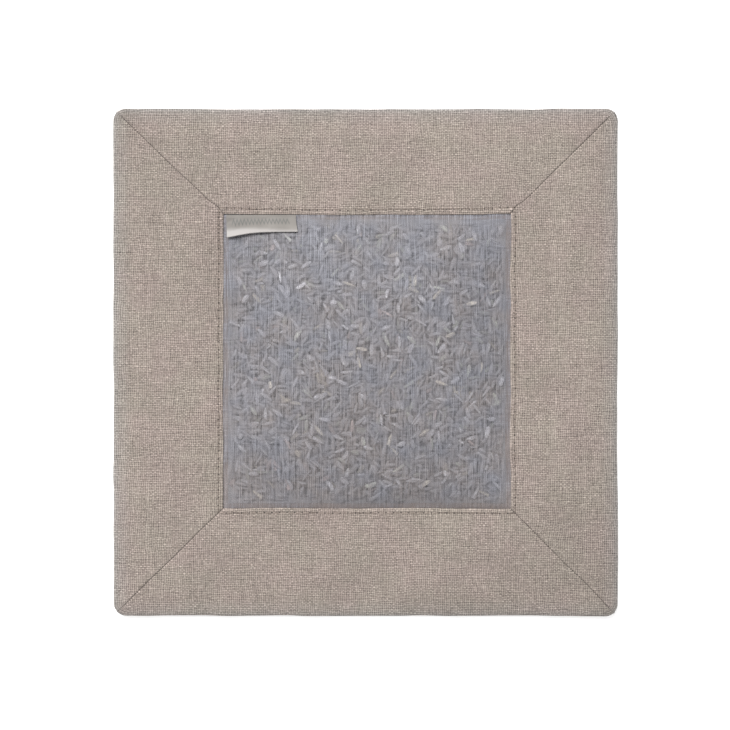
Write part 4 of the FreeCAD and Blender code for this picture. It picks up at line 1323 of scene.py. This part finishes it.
def label_surface(across, down, layer, roof):
    """Where a point of the folded tape lies. across runs from 0 at the left to 1. down runs from -2 at
    the sewn-in end to -1 at the hem's edge, 0 at the hinge and 1 at the lower fold. layer is -1 for the
    back and 1 for the front."""
    full = label_length(across)
    flap = np.clip(down, 0, None)
    neck = np.clip(-down, 0, 1)
    tab = np.clip(-down - 1, 0, 1)
    lift = np.radians(7 + 5 * across + 4 * np.sin(across * 4.5))
    droop = -0.55 * MM * np.sin(flap * math.pi) * (1 - 0.3 * across)
    corner = 0.5 * MM * np.exp(-across / 0.12) * flap ** 2
    rise = flap * full * np.tan(lift) + droop - corner + 0.5 * MM * flap ** 3
    y = HINGE[1] - flap * full * 0.985 + neck * (LIP - HINGE[1]) + tab * TAB_DEPTH
    low = TAB_LOW.z + 0.18 * MM
    high = HINGE[2] - 0.15 * MM
    z = high + rise - (high - low) * neck ** 1.6 * (3 - neck) / 2
    x = LABEL_LEFT + across * LABEL_WIDTH * 0.978 + (0.3 + 0.5 * across) * MM * flap ** 1.5
    open_by = 0.15 * MM + 0.22 * MM * flap * (1 - flap * 0.5) * (0.6 + 0.4 * across)
    sheer_x, sheer_y = np.interp(x, SEWN_X, PERFECT), np.interp(y, SEWN_Y, PERFECT)
    rest = roof(sheer_x, sheer_y) + SHEER_THICK + 0.35 * MM + 0.25 * MM * flap
    z = np.where(down > -1, np.maximum(z, rest), z)
    return np.stack([x, y, z + layer * open_by / 2], -1)


def make_label(roof):
    """The tape as one folded sheet: down the front, round the lower fold and up the back."""
    across = np.linspace(0, 1, 72)
    down = np.concatenate([np.linspace(-2, -1.1, 5), np.linspace(-1, 0, 9)[:-1], np.linspace(0, 1, 24)])
    rows, uvs = [], []
    for layer, order in ((1.0, down), (-1.0, down[::-1])):
        for place in order:
            place_row = np.full(len(across), place)
            rows.append(label_surface(across, place_row, layer, roof))
            uvs.append(np.stack([across * LABEL_WIDTH, place_row * LABEL_DOWN], -1))
    fold = label_surface(across, np.full(len(across), 1.0), 0.0, roof) - [0, 0.13 * MM, 0]
    middle = len(down)
    centre = np.array(rows[:middle] + [fold] + rows[middle:])
    uv = np.array(uvs[:middle] + [uvs[middle]] + uvs[middle:])
    verts, faces, flat_uv = sheet(centre, TAPE_THICK, uv)
    piece = add_object("folded_label", verts, faces, tape_material, flat_uv, place=np.asarray)
    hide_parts("label_flap", "label_tab")
    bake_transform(piece)


# --- Build.
for side in range(4):
    make_strip(side)
    make_interlining(side)
    make_mitre_seam(side)
make_back()
make_lining()
herbs, heap_height, heap_core, heap_steps = heap_buds()
roof = sheer_roof(heap_height, heap_steps)
make_buds(herbs, roof)
make_core(heap_core, heap_steps)
make_sheer(roof)
make_topstitch()
make_hidden_run("bobbin_stitches", "window_bobbin_thread", -1.0, STITCHES_PER_SIDE)
make_hidden_run("edge_seam_stitches", "edge_seam_thread", 1.0, 80)
make_hidden_run("pocket_seam_stitches", "pocket_seam_thread", 1.0, 52)
make_label(roof)


# --- Floor, light and camera.
def make_floor():
    """A white sweep that glows faintly, like a light table, so that the pad leaves almost no shadow on
    it."""
    n = Nodes("studio_floor")
    faint = n.noise(n.object_point(), 3.0, 2.0)
    colour = n.mix(n.remap(faint, 0.3, 0.7, 0, 1), (0.90, 0.90, 0.90), (0.92, 0.92, 0.92))
    material = n.finish(colour, 0.9)
    n.shader.inputs["Emission Color"].default_value = (1.0, 1.0, 1.0, 1.0)
    n.shader.inputs["Emission Strength"].default_value = 0.55
    mesh = bpy.data.meshes.new("studio_floor")
    reach = 4.0
    corners = [(-reach, -reach, 0), (reach, -reach, 0), (reach, reach, 0), (-reach, reach, 0)]
    mesh.from_pydata(corners, [], [(0, 1, 2, 3)])
    mesh.materials.append(material)
    floor = bpy.data.objects.new("studio_floor", mesh)
    floor.location.z = -0.05 * MM
    bpy.context.scene.collection.objects.link(floor)


def make_light():
    """Soft white light from all round, seen by the camera as pure white, and a broad key from the upper
    left."""
    world = bpy.data.worlds.new("studio")
    world.use_nodes = True
    tree = world.node_tree
    room = tree.nodes["Background"]
    room.inputs["Color"].default_value = (1.0, 1.0, 1.0, 1.0)
    room.inputs["Strength"].default_value = 0.47
    backdrop = tree.nodes.new("ShaderNodeBackground")
    backdrop.inputs["Color"].default_value = (1.0, 1.0, 1.0, 1.0)
    backdrop.inputs["Strength"].default_value = 1.2
    rays = tree.nodes.new("ShaderNodeLightPath")
    mix = tree.nodes.new("ShaderNodeMixShader")
    tree.links.new(rays.outputs["Is Camera Ray"], mix.inputs[0])
    tree.links.new(room.outputs[0], mix.inputs[1])
    tree.links.new(backdrop.outputs[0], mix.inputs[2])
    tree.links.new(mix.outputs[0], tree.nodes["World Output"].inputs["Surface"])
    bpy.context.scene.world = world
    lamp = bpy.data.lights.new("key", "SUN")
    lamp.energy = 3.2
    lamp.angle = math.radians(30)
    key = bpy.data.objects.new("key", lamp)
    key.rotation_euler = (math.radians(-35), math.radians(-23), 0)
    bpy.context.scene.collection.objects.link(key)


def make_camera():
    """Straight down from above, with a long lens. The pad sits slightly above the frame's middle."""
    frame_width = 289.6 * MM    # what the picture shows across, from the pad's chosen size
    lens, sensor = 100.0, 36.0
    data = bpy.data.cameras.new("camera")
    data.lens = lens
    data.sensor_width = sensor
    camera = bpy.data.objects.new("camera", data)
    camera.location = (-0.2 * MM, -1.4 * MM, STRIP_HIGH.z + frame_width * lens / sensor)
    bpy.context.scene.collection.objects.link(camera)
    bpy.context.scene.camera = camera


make_floor()
make_light()
make_camera()
bpy.context.scene.view_settings.view_transform = "Standard"
